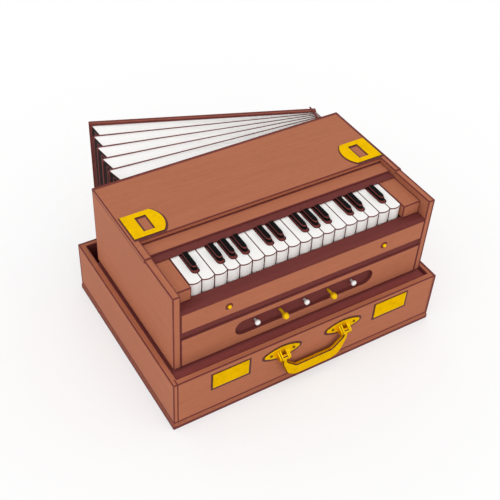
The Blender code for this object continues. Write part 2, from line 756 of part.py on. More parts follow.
def black_mesh(name):
    """A black key: lever below, and a cap with a rounded nose and leaning sides above."""
    half = BLACK_WIDTH / 2
    bow = half * BLACK_NOSE
    corner = BLACK_FRONT + bow
    outline = bowed_side((-half, corner), (half, corner), bow, BLACK_NOSE_POINTS)
    outline += [(half, KEY_BACK), (-half, KEY_BACK)]
    lever_top = KEY_TOP - BLACK_LEVER_BELOW
    bm = key_prism(outline, KEY_UNDER, lever_top)
    cap_end = BODY_FRONT + BLACK_CAP_END
    rise = BLACK_RISE + BLACK_LEVER_BELOW
    tips = split_and_extrude(bm, cap_end, lever_top, rise, True)
    for tip in tips:
        tip.co.x *= BLACK_TOP_SHARE
        if tip.co.y < cap_end - 1e-6:
            tip.co.y += BLACK_FRONT_SLOPE
    return mesh_from(bm, name)


def seat_on_pivot(key, index):
    """Cuts the round groove by which a key sits on the pivot rail."""
    groove = add_cutter(f"groove_{index}", rod_mesh(
        f"groove_{index}", PIVOT_RADIUS + RUN, -KEY_PITCH, KEY_PITCH, 0, 0, PIVOT_SIDES))
    groove.parent = key.parent
    boolean(key, groove)


def place_key(name, x, mesh, look, index):
    """Hangs a key on an empty that stands on the pivot rail's axis."""
    axis = add_axis(f"axis_of_{name}", (x, PIVOT_Y, KEY_UNDER))
    mesh.transform(Matrix.Translation((0, -PIVOT_Y, -KEY_UNDER)))
    key = add_part(name, mesh, look, axis)
    seat_on_pivot(key, index)


def make_keys():
    for number in range(1, WHITE_COUNT + 1):
        x = KEYBOARD_LEFT + (number - 0.5) * KEY_PITCH
        name = f"white_key_{number:02d}"
        mesh = white_mesh(name, number - 1 in BLACK_AFTER, number in BLACK_AFTER)
        place_key(name, x, mesh, IVORY, number)
    for order, after in enumerate(BLACK_AFTER, start=1):
        x = KEYBOARD_LEFT + after * KEY_PITCH
        name = f"black_key_{order:02d}"
        place_key(name, x, black_mesh(name), EBONY, WHITE_COUNT + order)


def make_d_plates():
    """D-shaped plates with a window, straight sides outwards."""
    low_y = LID_FRONT + D_FRONT_INSET
    outer_x = BODY_WIDTH / 2 - D_SIDE_INSET
    corner_x = outer_x - D_STRAIGHT
    low = BODY_TOP + SEAT
    window_x = outer_x - WINDOW_INSET
    window_y = low_y + (D_HEIGHT - WINDOW_HEIGHT) / 2
    for name, side in (("d_plate_left", -1), ("d_plate_right", 1)):
        plate = [(outer_x, low_y), (outer_x, low_y + D_HEIGHT)]
        plate += bowed_side((corner_x, low_y), (corner_x, low_y + D_HEIGHT), -D_BULGE,
                            D_ARC_POINTS)[::-1]
        window = [(window_x, window_y), (window_x, window_y + WINDOW_HEIGHT),
                  (window_x - WINDOW_WIDTH, window_y + WINDOW_HEIGHT),
                  (window_x - WINDOW_WIDTH, window_y)]
        loops = [[(side * x, y) for x, y in loop] for loop in (plate, window)]
        mesh = outline_mesh(name, loops, "XY", low, low + PLATE_THICKNESS, PLATE_EDGE)
        add_part(name, mesh, BRASS)


def make_escutcheons():
    """Leaf-shaped plates, each with two lugs and the pin that the handle turns on."""
    back = CASE_FRONT - SEAT
    front = back - LEAF_THICKNESS
    for name, side in (("escutcheon_left", -1), ("escutcheon_right", 1)):
        x = side * HANDLE_SPREAD / 2
        leaf = outline_mesh(name, [leaf_outline(x, HANDLE_PIVOT_HEIGHT + LEAF_RISE)], "XZ",
                            front, back, PLATE_EDGE)
        part = add_part(name, leaf, BRASS)
        starts = [EYE_WIDTH / 2 + RUN + rib * (LUG_WIDTH + LUG_GROOVE) for rib in range(LUG_RIBS)]
        for rib, start in enumerate(starts):
            for end in (-1, 1):
                low, high = sorted((x + end * start, x + end * (start + LUG_WIDTH)))
                lug = f"{name}_lug_{end}_{rib}"
                mesh = lug_mesh(lug, low, high, front, rib * LUG_STEP)
                boolean(part, add_cutter(lug, mesh), "UNION")
        pin = f"{name}_pin"
        reach = starts[-1] + LUG_WIDTH / 2
        boolean(part, add_cutter(pin, rod_mesh(pin, PIN_RADIUS, x - reach, x + reach, HANDLE_Y,
                                               HANDLE_PIVOT_HEIGHT)), "UNION")


def leaf_outline(x, z):
    """A leaf with round tips: two broad arcs that run into a small one at each end."""
    reach = LEAF_LENGTH / 2 - LEAF_TIP
    half = LEAF_HEIGHT / 2
    radius = (reach ** 2 + half ** 2 - LEAF_TIP ** 2) / (2 * (half - LEAF_TIP))
    depth = radius - half
    lean = math.atan2(reach, depth)
    outline = []
    for way in (1, -1):
        up = way * math.pi / 2
        outline += arc((x, z - way * depth), radius, up - lean, up + lean, LEAF_POINTS)
        tip = arc((x - way * reach, z), LEAF_TIP, up + lean, up + math.pi - lean, LEAF_TIP_POINTS)
        outline += tip[1:-1]
    return outline


def lug_mesh(name, low_x, high_x, plate_front, less):
    """A round-ended lug that stands out of the plate, with a slope from higher up the plate."""
    radius = LUG_RADIUS - less
    inside = plate_front + LEAF_THICKNESS / 2
    reach_y, reach_z = inside - HANDLE_Y, LUG_RISE - 2 * less
    slope_ends = math.atan2(reach_z, reach_y) + math.acos(radius / math.hypot(reach_y, reach_z))
    outline = [(inside, HANDLE_PIVOT_HEIGHT + reach_z)]
    outline += arc((HANDLE_Y, HANDLE_PIVOT_HEIGHT), radius, slope_ends, 3 * math.pi / 2,
                   ROUND_SIDES // 2)
    outline += [(inside, HANDLE_PIVOT_HEIGHT - radius)]
    return outline_mesh(name, [outline], "YZ", low_x, high_x)


def round_corner(before, corner, after, radius, points):
    """The arc that rounds a corner between two straight runs."""
    first = math.atan2(corner[1] - before[1], corner[0] - before[0])
    second = math.atan2(after[1] - corner[1], after[0] - corner[0])
    turn = second - first
    reach = radius * math.tan(turn / 2)
    start = (corner[0] - reach * math.cos(first), corner[1] - reach * math.sin(first))
    centre = (start[0] - radius * math.sin(first), start[1] + radius * math.cos(first))
    return arc(centre, radius, first - math.pi / 2, second - math.pi / 2, points)


def ribbon(path, widths):
    """The closed outline of a strip that follows a path, with its own width at each point."""
    points = np.array(path)
    runs = np.diff(points, axis=0)
    runs /= np.linalg.norm(runs, axis=1)[:, None]
    before = np.vstack([runs[:1], runs])
    after = np.vstack([runs, runs[-1:]])
    along = before + after
    along /= np.linalg.norm(along, axis=1)[:, None]
    normal = np.column_stack([-along[:, 1], along[:, 0]])
    mitre = np.sum(along * before, axis=1)
    offset = normal * (np.array(widths) / 2 / mitre)[:, None]
    return [tuple(p) for p in points + offset] + [tuple(p) for p in (points - offset)[::-1]]


def handle_outline():
    """The bail in its own plane: slim necks at the eyes, a broad grip, rounded corners."""
    half = HANDLE_SPREAD / 2
    eye, neck = (-half, 0), (-half, -HANDLE_NECK)
    grip, middle = (-HANDLE_GRIP / 2, -HANDLE_DROP), (0, -HANDLE_DROP)
    path = [eye]
    path += round_corner(eye, neck, grip, HANDLE_NECK_RADIUS, HANDLE_ARC_POINTS)
    path += round_corner(neck, grip, middle, HANDLE_CORNER, HANDLE_ARC_POINTS)
    slim = EYE_WIDTH - 2 * RUN
    shares = [0] + [0.04 * step for step in range(HANDLE_ARC_POINTS)]
    shares += list(np.linspace(0.8, 1, HANDLE_ARC_POINTS))
    widths = [slim + (HANDLE_HEIGHT - slim) * share for share in shares]
    path += [(-x, z) for x, z in path[::-1]]
    return ribbon(path, widths + widths[::-1])


def make_handle():
    """A flat bail, broad at the grip and slim at its arms, with an eye at each end."""
    axis = add_axis("axis_of_handle", (0, HANDLE_Y, HANDLE_PIVOT_HEIGHT))
    mesh = outline_mesh("handle_bail", [handle_outline()], "XZ", -HANDLE_THICKNESS / 2,
                        HANDLE_THICKNESS / 2, HANDLE_SOFT)
    bail = add_part("handle_bail", mesh, BRASS, axis)
    for side in (-1, 1):
        x = side * HANDLE_SPREAD / 2
        half = EYE_WIDTH / 2
        eye = rod_mesh(f"eye_{side}", EYE_RADIUS, x - half, x + half, 0, 0)
        bore = rod_mesh(f"bore_{side}", PIN_RADIUS + RUN, x - 2 * half, x + 2 * half, 0, 0)
        for mesh, operation in ((eye, "UNION"), (bore, "DIFFERENCE")):
            cutter = add_cutter(mesh.name, mesh)
            cutter.parent = axis
            boolean(bail, cutter, operation)
    smooth(bail)


def bellows_line(share, inset, level):
    """A point's two ends on the fan plane that lies at share of the bellows' opening."""
    angle = share * BELLOWS_ANGLE
    y = BODY_BACK + share * HINGE_STANDOFF
    start, end = [(HINGE_X - reach * math.cos(angle), y + reach * math.sin(angle))
                  for reach in (HINGE_GAP, HINGE_GAP + FOLD_LENGTH - inset)]
    return (*start, level), (*end, level)


def fold_rings(low_share, high_share):
    """Cross sections of one fold: ridge, valley, ridge outside and the same inside."""
    top = BODY_TOP - FOLD_TOP_BELOW
    bottom = BOARD_BOTTOM + FOLD_TOP_BELOW
    middle = (low_share + high_share) / 2
    outline = [(low_share, 0), (middle, FOLD_DEPTH), (high_share, 0),
               (high_share, FOLD_SHEET), (middle, FOLD_DEPTH + FOLD_SHEET),
               (low_share, FOLD_SHEET)]
    rings = []
    for level, sign, end in ((top, -1, 0), (top, -1, 1), (bottom, 1, 1), (bottom, 1, 0)):
        rings.append([bellows_line(share, inset, level + sign * inset)[end]
                      for share, inset in outline])
    return rings


def shift_ring(ring, low_share, high_share):
    """Moves a section's ridges off the fan planes, so that neighbours keep their gap."""
    shifts = (1, 0, -1, -1, 0, 1)
    gaps = {0.0: SEAT, 1.0: 0.0}
    moved = []
    for (x, y, z), way in zip(ring, shifts):
        share = low_share if way > 0 else high_share
        angle = share * BELLOWS_ANGLE
        step = way * gaps.get(share, SEAT / 2)
        moved.append((x + step * math.sin(angle), y + step * math.cos(angle), z))
    return moved


def make_folds():
    """Five folds of the bellows, each a zigzag strip round top, free end and bottom."""
    for index in range(FOLD_COUNT):
        low_share = index / FOLD_COUNT
        high_share = (index + 1) / FOLD_COUNT
        bm = bmesh.new()
        rings = []
        for ring in fold_rings(low_share, high_share):
            points = [bm.verts.new(p) for p in shift_ring(ring, low_share, high_share)]
            edges = [bm.edges.new((a, b)) for a, b in zip(points, points[1:] + points[:1])]
            rings.append((points, edges))
        for first, second in zip(rings, rings[1:]):
            bmesh.ops.bridge_loops(bm, edges=first[1] + second[1])
        for points, _ in (rings[0], rings[-1]):
            bm.faces.new(points)
        name = f"bellows_fold_{index + 1}"
        bmesh.ops.triangulate(bm, faces=bm.faces[:])
        axis = add_axis(f"axis_of_{name}", (HINGE_X, HINGE_Y, 0))
        mesh = mesh_from(bm, name)
        mesh.transform(Matrix.Translation((-HINGE_X, -HINGE_Y, 0)))
        add_part(name, mesh, PLEAT_PAPER, axis)


def make_bellows_board():
    """The board that is pumped by hand, turned to its open angle, with its air intake holes."""
    axis = add_axis("axis_of_bellows_board", (HINGE_X, HINGE_Y, 0))
    axis.rotation_euler = (0, 0, -BELLOWS_ANGLE)
    mesh = box_mesh("bellows_board", (-HINGE_GAP - BOARD_LENGTH, SEAT, BOARD_BOTTOM),
                    (-HINGE_GAP, SEAT + BOARD_THICKNESS, BODY_TOP - BOARD_TOP_BELOW))
    board = add_part("bellows_board", mesh, WOOD, axis)
    bevel(board, BOARD_EDGE)
    middle_z = (BOARD_BOTTOM + BODY_TOP) / 2
    for index in range(INTAKE_COUNT):
        x = -BOARD_LENGTH / 2 + (index - (INTAKE_COUNT - 1) / 2) * INTAKE_SPACING
        ring = arc((x, middle_z), INTAKE_RADIUS, 0, 2 * math.pi * (1 - 1 / ROUND_SIDES),
                   ROUND_SIDES)
        name = f"intake_{index + 1}"
        hole = add_cutter(name, outline_mesh(name, [ring], "XZ", -BOARD_THICKNESS,
                                             2 * BOARD_THICKNESS))
        hole.parent = axis
        boolean(board, hole)


def main():
    make_case()
    make_deck()
    make_cheeks()
    make_lid()
    make_nameboard()
    make_front_board()
    make_stops()
    make_keyslip()
    make_key_rail()
    make_key_blocks()
    make_back_panel()
    make_reed_board()
    make_keys()
    make_d_plates()
    make_escutcheons()
    make_handle()
    make_folds()
    make_bellows_board()


main()
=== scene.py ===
"""Finishes and fine pieces of a portable hand-pumped harmonium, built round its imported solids."""

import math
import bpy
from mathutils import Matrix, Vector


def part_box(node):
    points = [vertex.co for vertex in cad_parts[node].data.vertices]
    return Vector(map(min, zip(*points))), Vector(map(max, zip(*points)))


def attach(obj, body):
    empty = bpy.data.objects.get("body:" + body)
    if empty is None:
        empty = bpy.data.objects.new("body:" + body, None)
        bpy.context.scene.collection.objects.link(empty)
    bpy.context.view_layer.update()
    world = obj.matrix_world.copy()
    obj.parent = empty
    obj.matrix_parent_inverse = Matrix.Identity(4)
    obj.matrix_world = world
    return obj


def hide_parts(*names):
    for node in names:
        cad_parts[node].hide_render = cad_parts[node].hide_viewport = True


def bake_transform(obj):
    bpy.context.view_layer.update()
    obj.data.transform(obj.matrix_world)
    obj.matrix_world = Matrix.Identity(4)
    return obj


bl_info = {
    "name": "Portable Harmonium",
    "version": (1, 0, 0),
    "blender": (4, 5, 0),
    "location": "3D View > Sidebar > Harmonium",
    "description": "Finishes, bellows skins, trim and stage of a hand-pumped harmonium",
    "category": "Object",
}

import bmesh
import bpy
from bmesh.types import BMEdge, BMFace, BMVert
from mathutils import Matrix, Vector

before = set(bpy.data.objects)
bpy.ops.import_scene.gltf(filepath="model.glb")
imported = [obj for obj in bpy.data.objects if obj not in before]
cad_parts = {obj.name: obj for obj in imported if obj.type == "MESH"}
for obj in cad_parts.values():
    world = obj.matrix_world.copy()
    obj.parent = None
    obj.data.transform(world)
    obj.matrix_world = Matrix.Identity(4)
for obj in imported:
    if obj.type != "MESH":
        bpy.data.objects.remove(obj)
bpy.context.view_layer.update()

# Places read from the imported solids, in metres.
CASE_LOW, CASE_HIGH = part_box("case_walls")
BOARD_LOW, BOARD_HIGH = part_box("front_board")
SLIP_LOW, SLIP_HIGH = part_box("keyslip")
LID_LOW, LID_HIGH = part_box("lid")
LEDGE_LOW, LEDGE_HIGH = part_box("nameboard")
CHEEK_LOW, CHEEK_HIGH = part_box("cheek_right")
FOLD_LOW, FOLD_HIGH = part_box("bellows_fold_1")
KEY_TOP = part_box("white_key_01")[1].z
BODY_FRONT = BOARD_LOW.y
BODY_BACK = LID_HIGH.y

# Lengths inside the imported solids, which their boxes don't tell.
CASE_WALL = 0.011
LAP_LINE = 0.238
LID_FRONT = -0.0205
KNOB_SPREAD = 0.2796
OVAL_REACH = 0.1285
OVAL_LOW, OVAL_HIGH = 0.1175, 0.1505
OVAL_FLOOR = 0.0075
CAP_HEIGHT = 0.0085
LEAF_THICKNESS = 0.0022
BAIL_Y = CASE_LOW.y - 0.0085
BAIL_THICKNESS = 0.0076

# The bellows fan: a plane at share s of the opening turns by s times the full angle.
HINGE_X, HINGE_Y = 0.2030, 0.1420
HINGE_STANDOFF = 0.018
BELLOWS_ANGLE = math.radians(21.1)
FOLD_COUNT = 5
FOLD_DEPTH = 0.015
NEAR_REACH, FAR_REACH = 0.002, 0.391
BOARD_REACH = 0.3955
BOARD_FACE, BOARD_BACK = 0.0003, 0.0098
BOARD_DROP, BOARD_RISE = 0.0025, 0.0015
KNUCKLE_TOP, KNUCKLE_RADIUS = 0.2348, 0.00195
CHAIN = ["harmonium", "fold_1", "fold_2", "fold_3", "fold_4", "bellows"]

# The line along the foot of the case runs this far above the foot of its walls.
FOOT_STRIP = 0.0053
# A line is full up to the first share of its width and gone at the second.
LINE_FULL, LINE_GONE = 0.75, 1.15
# Widths of single lines, as shares of the outline width.
RIGHT_RIM, BACK_RIM, LID_BACK, CHEEK_SIDE = 0.95, 0.8, 1.2, 0.7
FLOOR_SIDE, FLOOR_FRONT, BOARD_TOP = 1.7, 1.4, 1.2
# The same, as shares of the edge width.
SIDE_FOOT, FRONT_FOOT, LAP_WIDTH = 1.7, 1.15, 0.6
LEDGE_JOINT, BOARD_SIDE, BOARD_UPRIGHT = 1.2, 1.3, 1.5
# The bail is darkened between these two depths behind each of its faces: a line at the front, a painted
# shadow at the back.
BAIL_FLAT, BAIL_LINE = 0.0002, 0.0017
# A plane that tests for a face stands a hair or more off it.
HAIR = 0.0001

# White key: where the joint under the cover starts and how far back it shows, and from
# where below and behind the cover the wood is bare.
JOINT_TOP, JOINT_REACH = 0.0004, 0.0045
UNDER_TOP, UNDER_REACH = 0.0010, 0.0050
# Black key: heights of the lines at the foot and at the shoulder of the cap.
CAP_FOOT, CAP_SHOULDER = 0.0025, 0.0018
# Shares of the normal past which a face counts as a key's side, or as level.
STEEP, LEVEL = 0.80, 0.93
KNOB_NECK = 0.0012

# Fittings stand a little off the wood, with a washer between.
FITTING_GAP = 0.0003
WASHER_GAP, WASHER_THICKNESS = 0.00003, 0.00024
# Washers show further to the right of their fittings and below them, towards the front on the lid, as a
# painted shadow of the fitting.
PLATE_SHADOW_RIGHT, PLATE_SHADOW_DOWN, PLATE_SHADOW_UP = 0.0012, 0.0022, 0.0010
LEAF_SHADOW_SHIFT = (0.0008, 0, -0.0018)
CORNER_SHADOW_SHIFT = (0.0006, -0.0012, 0)
PLATE_PLACES = {"left": (-0.1483, 0.0755), "right": (0.1523, 0.0770)}
PLATE_RIM, PLATE_SUNK = 0.0016, 0.00025
PIN_INSET, PIN_RISE, PIN_RADIUS, PIN_FLATNESS = 0.0045, 0.0002, 0.0009, 0.55
SCREW_LIFT = 0.0008

# Felt strip, bindings of the ridges, intake flap and catch.
FELT_REACH, FELT_GAP, FELT_ROUND = 0.0140, 0.0001, 0.0007
FELT_LOW, FELT_HIGH = 0.0006, 0.0026
BINDING_CORNER, NEAR_SHARE, NEAR_INSET = 0.0035, 0.45, 0.0015
FLAP_REACH, FLAP_DOWN, FLAP_UP = 0.056, 0.012, 0.014
FLAP_BACK, FLAP_FACE = 0.0014, 0.0003
CATCH_START = Vector((0.1904, BODY_BACK + 0.0002, 0))
CATCH_END = Vector((0.1975, 0.1585, 0))
CATCH_HALF, CATCH_THICKNESS, CATCH_LIFT = 0.0015, 0.0008, 0.0019

# Each layer of the grain: its unit, its swells to the unit along and across the fibres, its
# detail, roughness and distortion.
GRAIN_LAYERS = (
    ("figure_length", 1, 7, 3.0, 0.5, 0.6),
    ("streak_width", 0.035, 1, 4.0, 0.6, 0.2),
    ("streak_width", 0.16, 4, 2.0, 0.5, 0.0),
)
GRAIN_CONTRAST = 0.18
TURNS = {"X": (0, 0, 0), "Y": (0, 0, math.pi / 2)}


class Finish:
    """A material with short ways to wire its nodes."""

    def __init__(self, name, roughness, metallic=0.0):
        self.material = bpy.data.materials.new(name)
        self.material.use_nodes = True
        self.tree = self.material.node_tree
        self.shader = self.tree.nodes["Principled BSDF"]
        self.shader.inputs["Roughness"].default_value = roughness
        self.shader.inputs["Metallic"].default_value = metallic
        self.place = self.add("TexCoord").outputs["Object"]
        self.x, self.y, self.z = self.parts(self.place)

    def feed(self, socket, value):
        if isinstance(value, bpy.types.NodeSocket):
            self.tree.links.new(value, socket)
        else:
            socket.default_value = value

    def add(self, kind, inputs=(), **settings):
        node = self.tree.nodes.new("ShaderNode" + kind)
        for key, value in settings.items():
            setattr(node, key, value)
        for key, value in dict(inputs).items():
            self.feed(node.inputs[key], value)
        return node

    def maths(self, operation, *values, clamp=False):
        node = self.add("Math", enumerate(values), operation=operation, use_clamp=clamp)
        return node.outputs[0]

    def vector(self, operation, *values, result="Vector"):
        node = self.add("VectorMath", enumerate(values), operation=operation)
        return node.outputs[result]

    def joined(self, operation, shares):
        total = shares[0]
        for share in shares[1:]:
            total = self.maths(operation, total, share)
        return total

    def most(self, *shares):
        return self.joined("MAXIMUM", shares)

    def all_of(self, *shares):
        return self.joined("MULTIPLY", shares)

    def parts(self, vector):
        return self.add("SeparateXYZ", {0: vector}).outputs[:3]

    def coordinates(self, kind):
        """The parts of the Normal or the UV coordinate."""
        return self.parts(self.add("TexCoord").outputs[kind])

    def above(self, value, limit):
        return self.maths("GREATER_THAN", value, limit)

    def below(self, value, limit):
        return self.maths("LESS_THAN", value, limit)

    def between(self, value, low, high):
        return self.all_of(self.above(value, low), self.below(value, high))

    def fade(self, value, start, end):
        """1 at or before start, 0 at or after end, soft between."""
        node = self.add("MapRange", {0: value, 1: start, 2: end, 3: 1.0, 4: 0.0},
                        interpolation_type="SMOOTHSTEP")
        return node.outputs[0]

    def mapped(self, scale, turn=(0, 0, 0), shift=(0, 0, 0), base=None):
        node = self.add("Mapping", {0: base or self.place, 1: shift, 2: turn, 3: scale})
        return node.outputs[0]

    def noise(self, scale, detail=3.0, rough=0.55, swirl=0.0, base=None):
        """Noise from 0 to 1; scale is its swells to the metre, one for all axes or three."""
        if not isinstance(scale, tuple):
            scale = (scale, scale, scale)
        node = self.add("TexNoise", {"Vector": self.mapped(scale, base=base), "Scale": 1.0,
                                     "Detail": detail, "Roughness": rough,
                                     "Distortion": swirl})
        return node.outputs[0]

    def cells(self, scale):
        """Small round cells, scale of them to the metre."""
        place = self.mapped((scale, scale, scale))
        return self.add("TexVoronoi", {"Vector": place, "Scale": 1.0}).outputs[0]

    def mix(self, share, first, second):
        node = self.add("Mix", {0: share}, data_type="RGBA")
        for socket, value in ((6, first), (7, second)):
            if not isinstance(value, bpy.types.NodeSocket):
                value = (*value[:3], 1.0)
            self.feed(node.inputs[socket], value)
        return node.outputs[2]

    def tones(self, share, colour, low, high):
        """The colour times low where share is 0 and times high where it is 1."""
        return self.mix(share, Vector(colour) * low, Vector(colour) * high)

    def ramp(self, share, low, high):
        """share stretched so that low becomes 0 and high becomes 1."""
        node = self.add("MapRange", {0: share, 1: low, 2: high, 3: 0.0, 4: 1.0})
        return node.outputs[0]

    def box_edges(self, low, high, width):
        """1 near the edges of the box from low to high, 0 elsewhere."""
        near = self.vector("MINIMUM", self.vector("SUBTRACT", self.place, low),
                           self.vector("SUBTRACT", high, self.place))
        a, b, c = self.parts(near)
        inner = self.maths("MINIMUM", a, b)
        outer = self.maths("MAXIMUM", a, b)
        middle = self.maths("MAXIMUM", inner, self.maths("MINIMUM", outer, c))
        inside = self.above(self.maths("MINIMUM", inner, c), -4 * HAIR)
        return self.all_of(self.fade(middle, width * LINE_FULL, width * LINE_GONE), inside)

    def seam(self, start, end, width):
        """1 near the straight line from start to end, 0 elsewhere."""
        start, end = Vector(start), Vector(end)
        run = end - start
        away = self.vector("SUBTRACT", self.place, start)
        along = self.vector("DOT_PRODUCT", away, run / run.length_squared, result="Value")
        along = self.maths("ADD", along, 0.0, clamp=True)
        scaled = self.add("VectorMath", {0: run, "Scale": along}, operation="SCALE")
        distance = self.vector("DISTANCE", away, scaled.outputs[0], result="Value")
        return self.fade(distance, width * LINE_FULL, width * LINE_GONE)

    def finish(self, colour, bump=None, roughness=None, coat=0.0, coat_roughness=0.2,
               specular=0.5):
        """bump is a height with its depth in metres and its strength."""
        values = {"Base Color": colour, "Coat Weight": coat,
                  "Coat Roughness": coat_roughness, "Specular IOR Level": specular}
        if bump is not None:
            inputs = zip(("Height", "Distance", "Strength"), bump)
            values["Normal"] = self.add("Bump", inputs).outputs[0]
        if roughness is not None:
            values["Roughness"] = roughness
        for name, value in values.items():
            self.feed(self.shader.inputs[name], value)
        return self.material


def grain(finish, axis, settings, shift, turn, cross):
    """Figure, streaks and pores of wood whose fibres run along axis, each from 0 to 1.

    cross gives where the fibres run along Y instead, as on the side walls of a box.
    """
    base = finish.mapped((1, 1, 1), turn or TURNS[axis], shift)
    if cross is not None:
        other = finish.mapped((1, 1, 1), TURNS["Y"], shift)
        node = finish.add("Mix", {0: cross(finish), 4: base, 5: other}, data_type="VECTOR")
        base = node.outputs[1]
    layers = []
    for unit, along, across, detail, rough, swirl in GRAIN_LAYERS:
        size = getattr(settings, unit)
        scale = (along / size, across / size, across / size)
        layers.append(finish.noise(scale, detail, rough, swirl, base))
    figure, streak, pore = layers
    return figure, streak, finish.ramp(pore, 0.60, 0.68)


def wood(name, axis, settings, dark=None, edges=None, shift=(0, 0, 0), turn=None,
         colour=None, cross=None, metal=None):
    """Varnished wood. dark, edges, cross and metal are functions that give where the dark
    stain and the painted shade, the edge lines, the fibres along Y and the small brass parts
    lie."""
    finish = Finish(name, settings.wood_roughness)
    figure, streak, pore = grain(finish, axis, settings, shift, turn, cross)
    tone = Vector(settings.wood_colour if colour is None else colour)
    depth = settings.grain_contrast
    light = finish.tones(figure, tone, 1 - 0.55 * depth, 1 + 0.50 * depth)
    warm = finish.tones(finish.ramp(streak, 0.30, 0.70), tone, 1 - 0.9 * depth, 1 + 0.75 * depth)
    body = finish.mix(0.5, light, warm)
    pores = finish.maths("MULTIPLY", pore, 0.35 * depth / GRAIN_CONTRAST)
    body = finish.mix(pores, body, tone * 0.45)
    # The stain, which is also painted shade where dark marks the case's well, the ledge's front or the
    # groove.
    stained = finish.tones(finish.ramp(streak, 0.25, 0.75), settings.stain_and_shade_colour, 0.86, 1.14)
    if dark is not None:
        body = finish.mix(dark(finish), body, stained)
    if edges is not None:
        wear = finish.ramp(finish.noise(120, 2.0), 0.2, 0.5)
        share = finish.all_of(edges(finish), finish.maths("MULTIPLY_ADD", wear, 0.2, 0.78))
        body = finish.mix(share, body, stained)
    rough = finish.maths("MULTIPLY_ADD", streak, 0.16, settings.wood_roughness - 0.08)
    if metal is not None:
        share = metal(finish)
        body = finish.mix(share, body, settings_of("metal").brass_colour)
        finish.feed(finish.shader.inputs["Metallic"], share)
    height = finish.maths("ADD", finish.maths("MULTIPLY", pore, -0.6), streak)
    return finish.finish(body, (height, 0.00012, 0.35), rough, specular=0.03)


def brass(name, settings, dark=None, metallic=1.0):
    """Brass with a little tarnish and fine scratches; under lacquer it is less metallic."""
    finish = Finish(name, 0.30, metallic)
    cloud = finish.noise(90, 4.0, 0.6)
    scratch = finish.noise((900, 60, 900), rough=0.6)
    share = finish.maths("MULTIPLY", finish.ramp(cloud, 0.45, 0.72), settings.tarnish)
    colour = finish.tones(share, settings.brass_colour, 1, 0.62)
    if dark is not None:
        colour = finish.mix(dark(finish), colour, settings.shadow_colour)
    rough = finish.maths("MULTIPLY_ADD", cloud, 0.18, 0.42)
    finish.shader.inputs["Specular Tint"].default_value = (0.95, 0.70, 0.10, 1.0)
    return finish.finish(colour, (scratch, 0.00005, 0.25), rough)


def dress(node, material):
    """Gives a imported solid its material; the solid itself stays as it is."""
    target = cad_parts[node]
    if not target.material_slots:
        target.data.materials.append(material)
    for slot in target.material_slots:
        slot.material = material


def as_mesh(name, bm, materials=()):
    """A mesh made of bm, which is freed."""
    mesh = bpy.data.meshes.new(name)
    bm.to_mesh(mesh)
    bm.free()
    for material in materials:
        mesh.materials.append(material)
    return mesh


def new_object(name, data):
    made = bpy.data.objects.new(name, data)
    bpy.context.scene.collection.objects.link(made)
    return made


def add_piece(name, bm, materials, body="harmonium", smooth=False):
    """Makes the mesh an object in the row frame that rides on a body."""
    mesh = as_mesh(name, bm, materials)
    if smooth:
        mesh.shade_smooth()
    piece = new_object(name, mesh)
    if body is not None:
        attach(piece, body)
    return piece


def add_bevel(piece, width):
    bevel = piece.modifiers.new("Soft edges", "BEVEL")
    bevel.width = width
    bevel.segments = 2
    bevel.limit_method = "ANGLE"


def block(low, high):
    """A bmesh box from low to high."""
    low, high = Vector(low), Vector(high)
    place = Matrix.Translation((low + high) / 2) @ Matrix.Diagonal((*(high - low), 1))
    bm = bmesh.new()
    bmesh.ops.create_cube(bm, size=1.0, matrix=place)
    return bm


def bevel_edges(bm, edges, offset, segments=3):
    bmesh.ops.bevel(bm, geom=edges, offset=offset, offset_type="OFFSET", affect="EDGES",
                    segments=segments, profile=0.5, material=-1)


def edges_along(bm, axis):
    """The edges of a block that run along X, Y or Z, given as 0, 1 or 2."""
    return [e for e in bm.edges if abs((e.verts[0].co - e.verts[1].co)[axis]) > 0.0005]


def only(items, kind):
    """The items of one kind in what a mesh step gives back."""
    return [item for item in items if isinstance(item, kind)]


def fan_place(share):
    """Turns the flat bellows plane, drawn along -X, to its place at share of the opening."""
    turn = Matrix.Rotation(-share * BELLOWS_ANGLE, 4, "Z")
    move = Matrix.Translation((HINGE_X, BODY_BACK + share * HINGE_STANDOFF, 0))
    return move @ turn


def tint(name, description, default):
    """A colour as a setting."""
    return bpy.props.FloatVectorProperty(name=name, description=description, default=default,
                                         subtype="COLOR", size=3, min=0, max=1)


def length(name, description, default, low, high):
    """A length in metres as a setting."""
    return bpy.props.FloatProperty(name=name, description=description, default=default,
                                   unit="LENGTH", min=low, max=high)


def factor(name, description, default, low=0, high=1):
    """A share of one as a setting."""
    return bpy.props.FloatProperty(name=name, description=description, default=default,
                                   subtype="FACTOR", min=low, max=high)


class HarmoniumWood(bpy.types.PropertyGroup):
    wood_colour: tint("Wood", "Colour of the varnished wood", (0.434, 0.150, 0.080))
    # Besides the stain, this colour paints shade: in the case's well, on the ledge's front, in the
    # groove over the front board, on the reed board, on the deck and on the felt strip.
    stain_and_shade_colour: tint("Dark stain", "Colour of the stained rails, recesses and edges",
                       (0.162, 0.039, 0.035))
    wood_roughness: factor("Roughness", "How matt the varnish is", 0.48, 0.1)
    grain_contrast: factor("Grain", "How strongly the grain shows", GRAIN_CONTRAST, 0, 0.5)
    figure_length: length("Figure", "Length of the broad figure along the grain", 0.22, 0.02, 1)
    streak_width: length("Streaks", "Width of the fine streaks across the grain", 0.0022,
                         0.0005, 0.01)
    edge_width: length("Edge lines", "Width of the dark line along each edge", 0.0019, 0, 0.005)
    outline_width: length("Outlines", "Width of the dark line on the outermost edges", 0.0054, 0, 0.010)
    ring_radius: length("Knob rings", "Radius of the stained ring round a small knob", 0.0066,
                        0.003, 0.01)


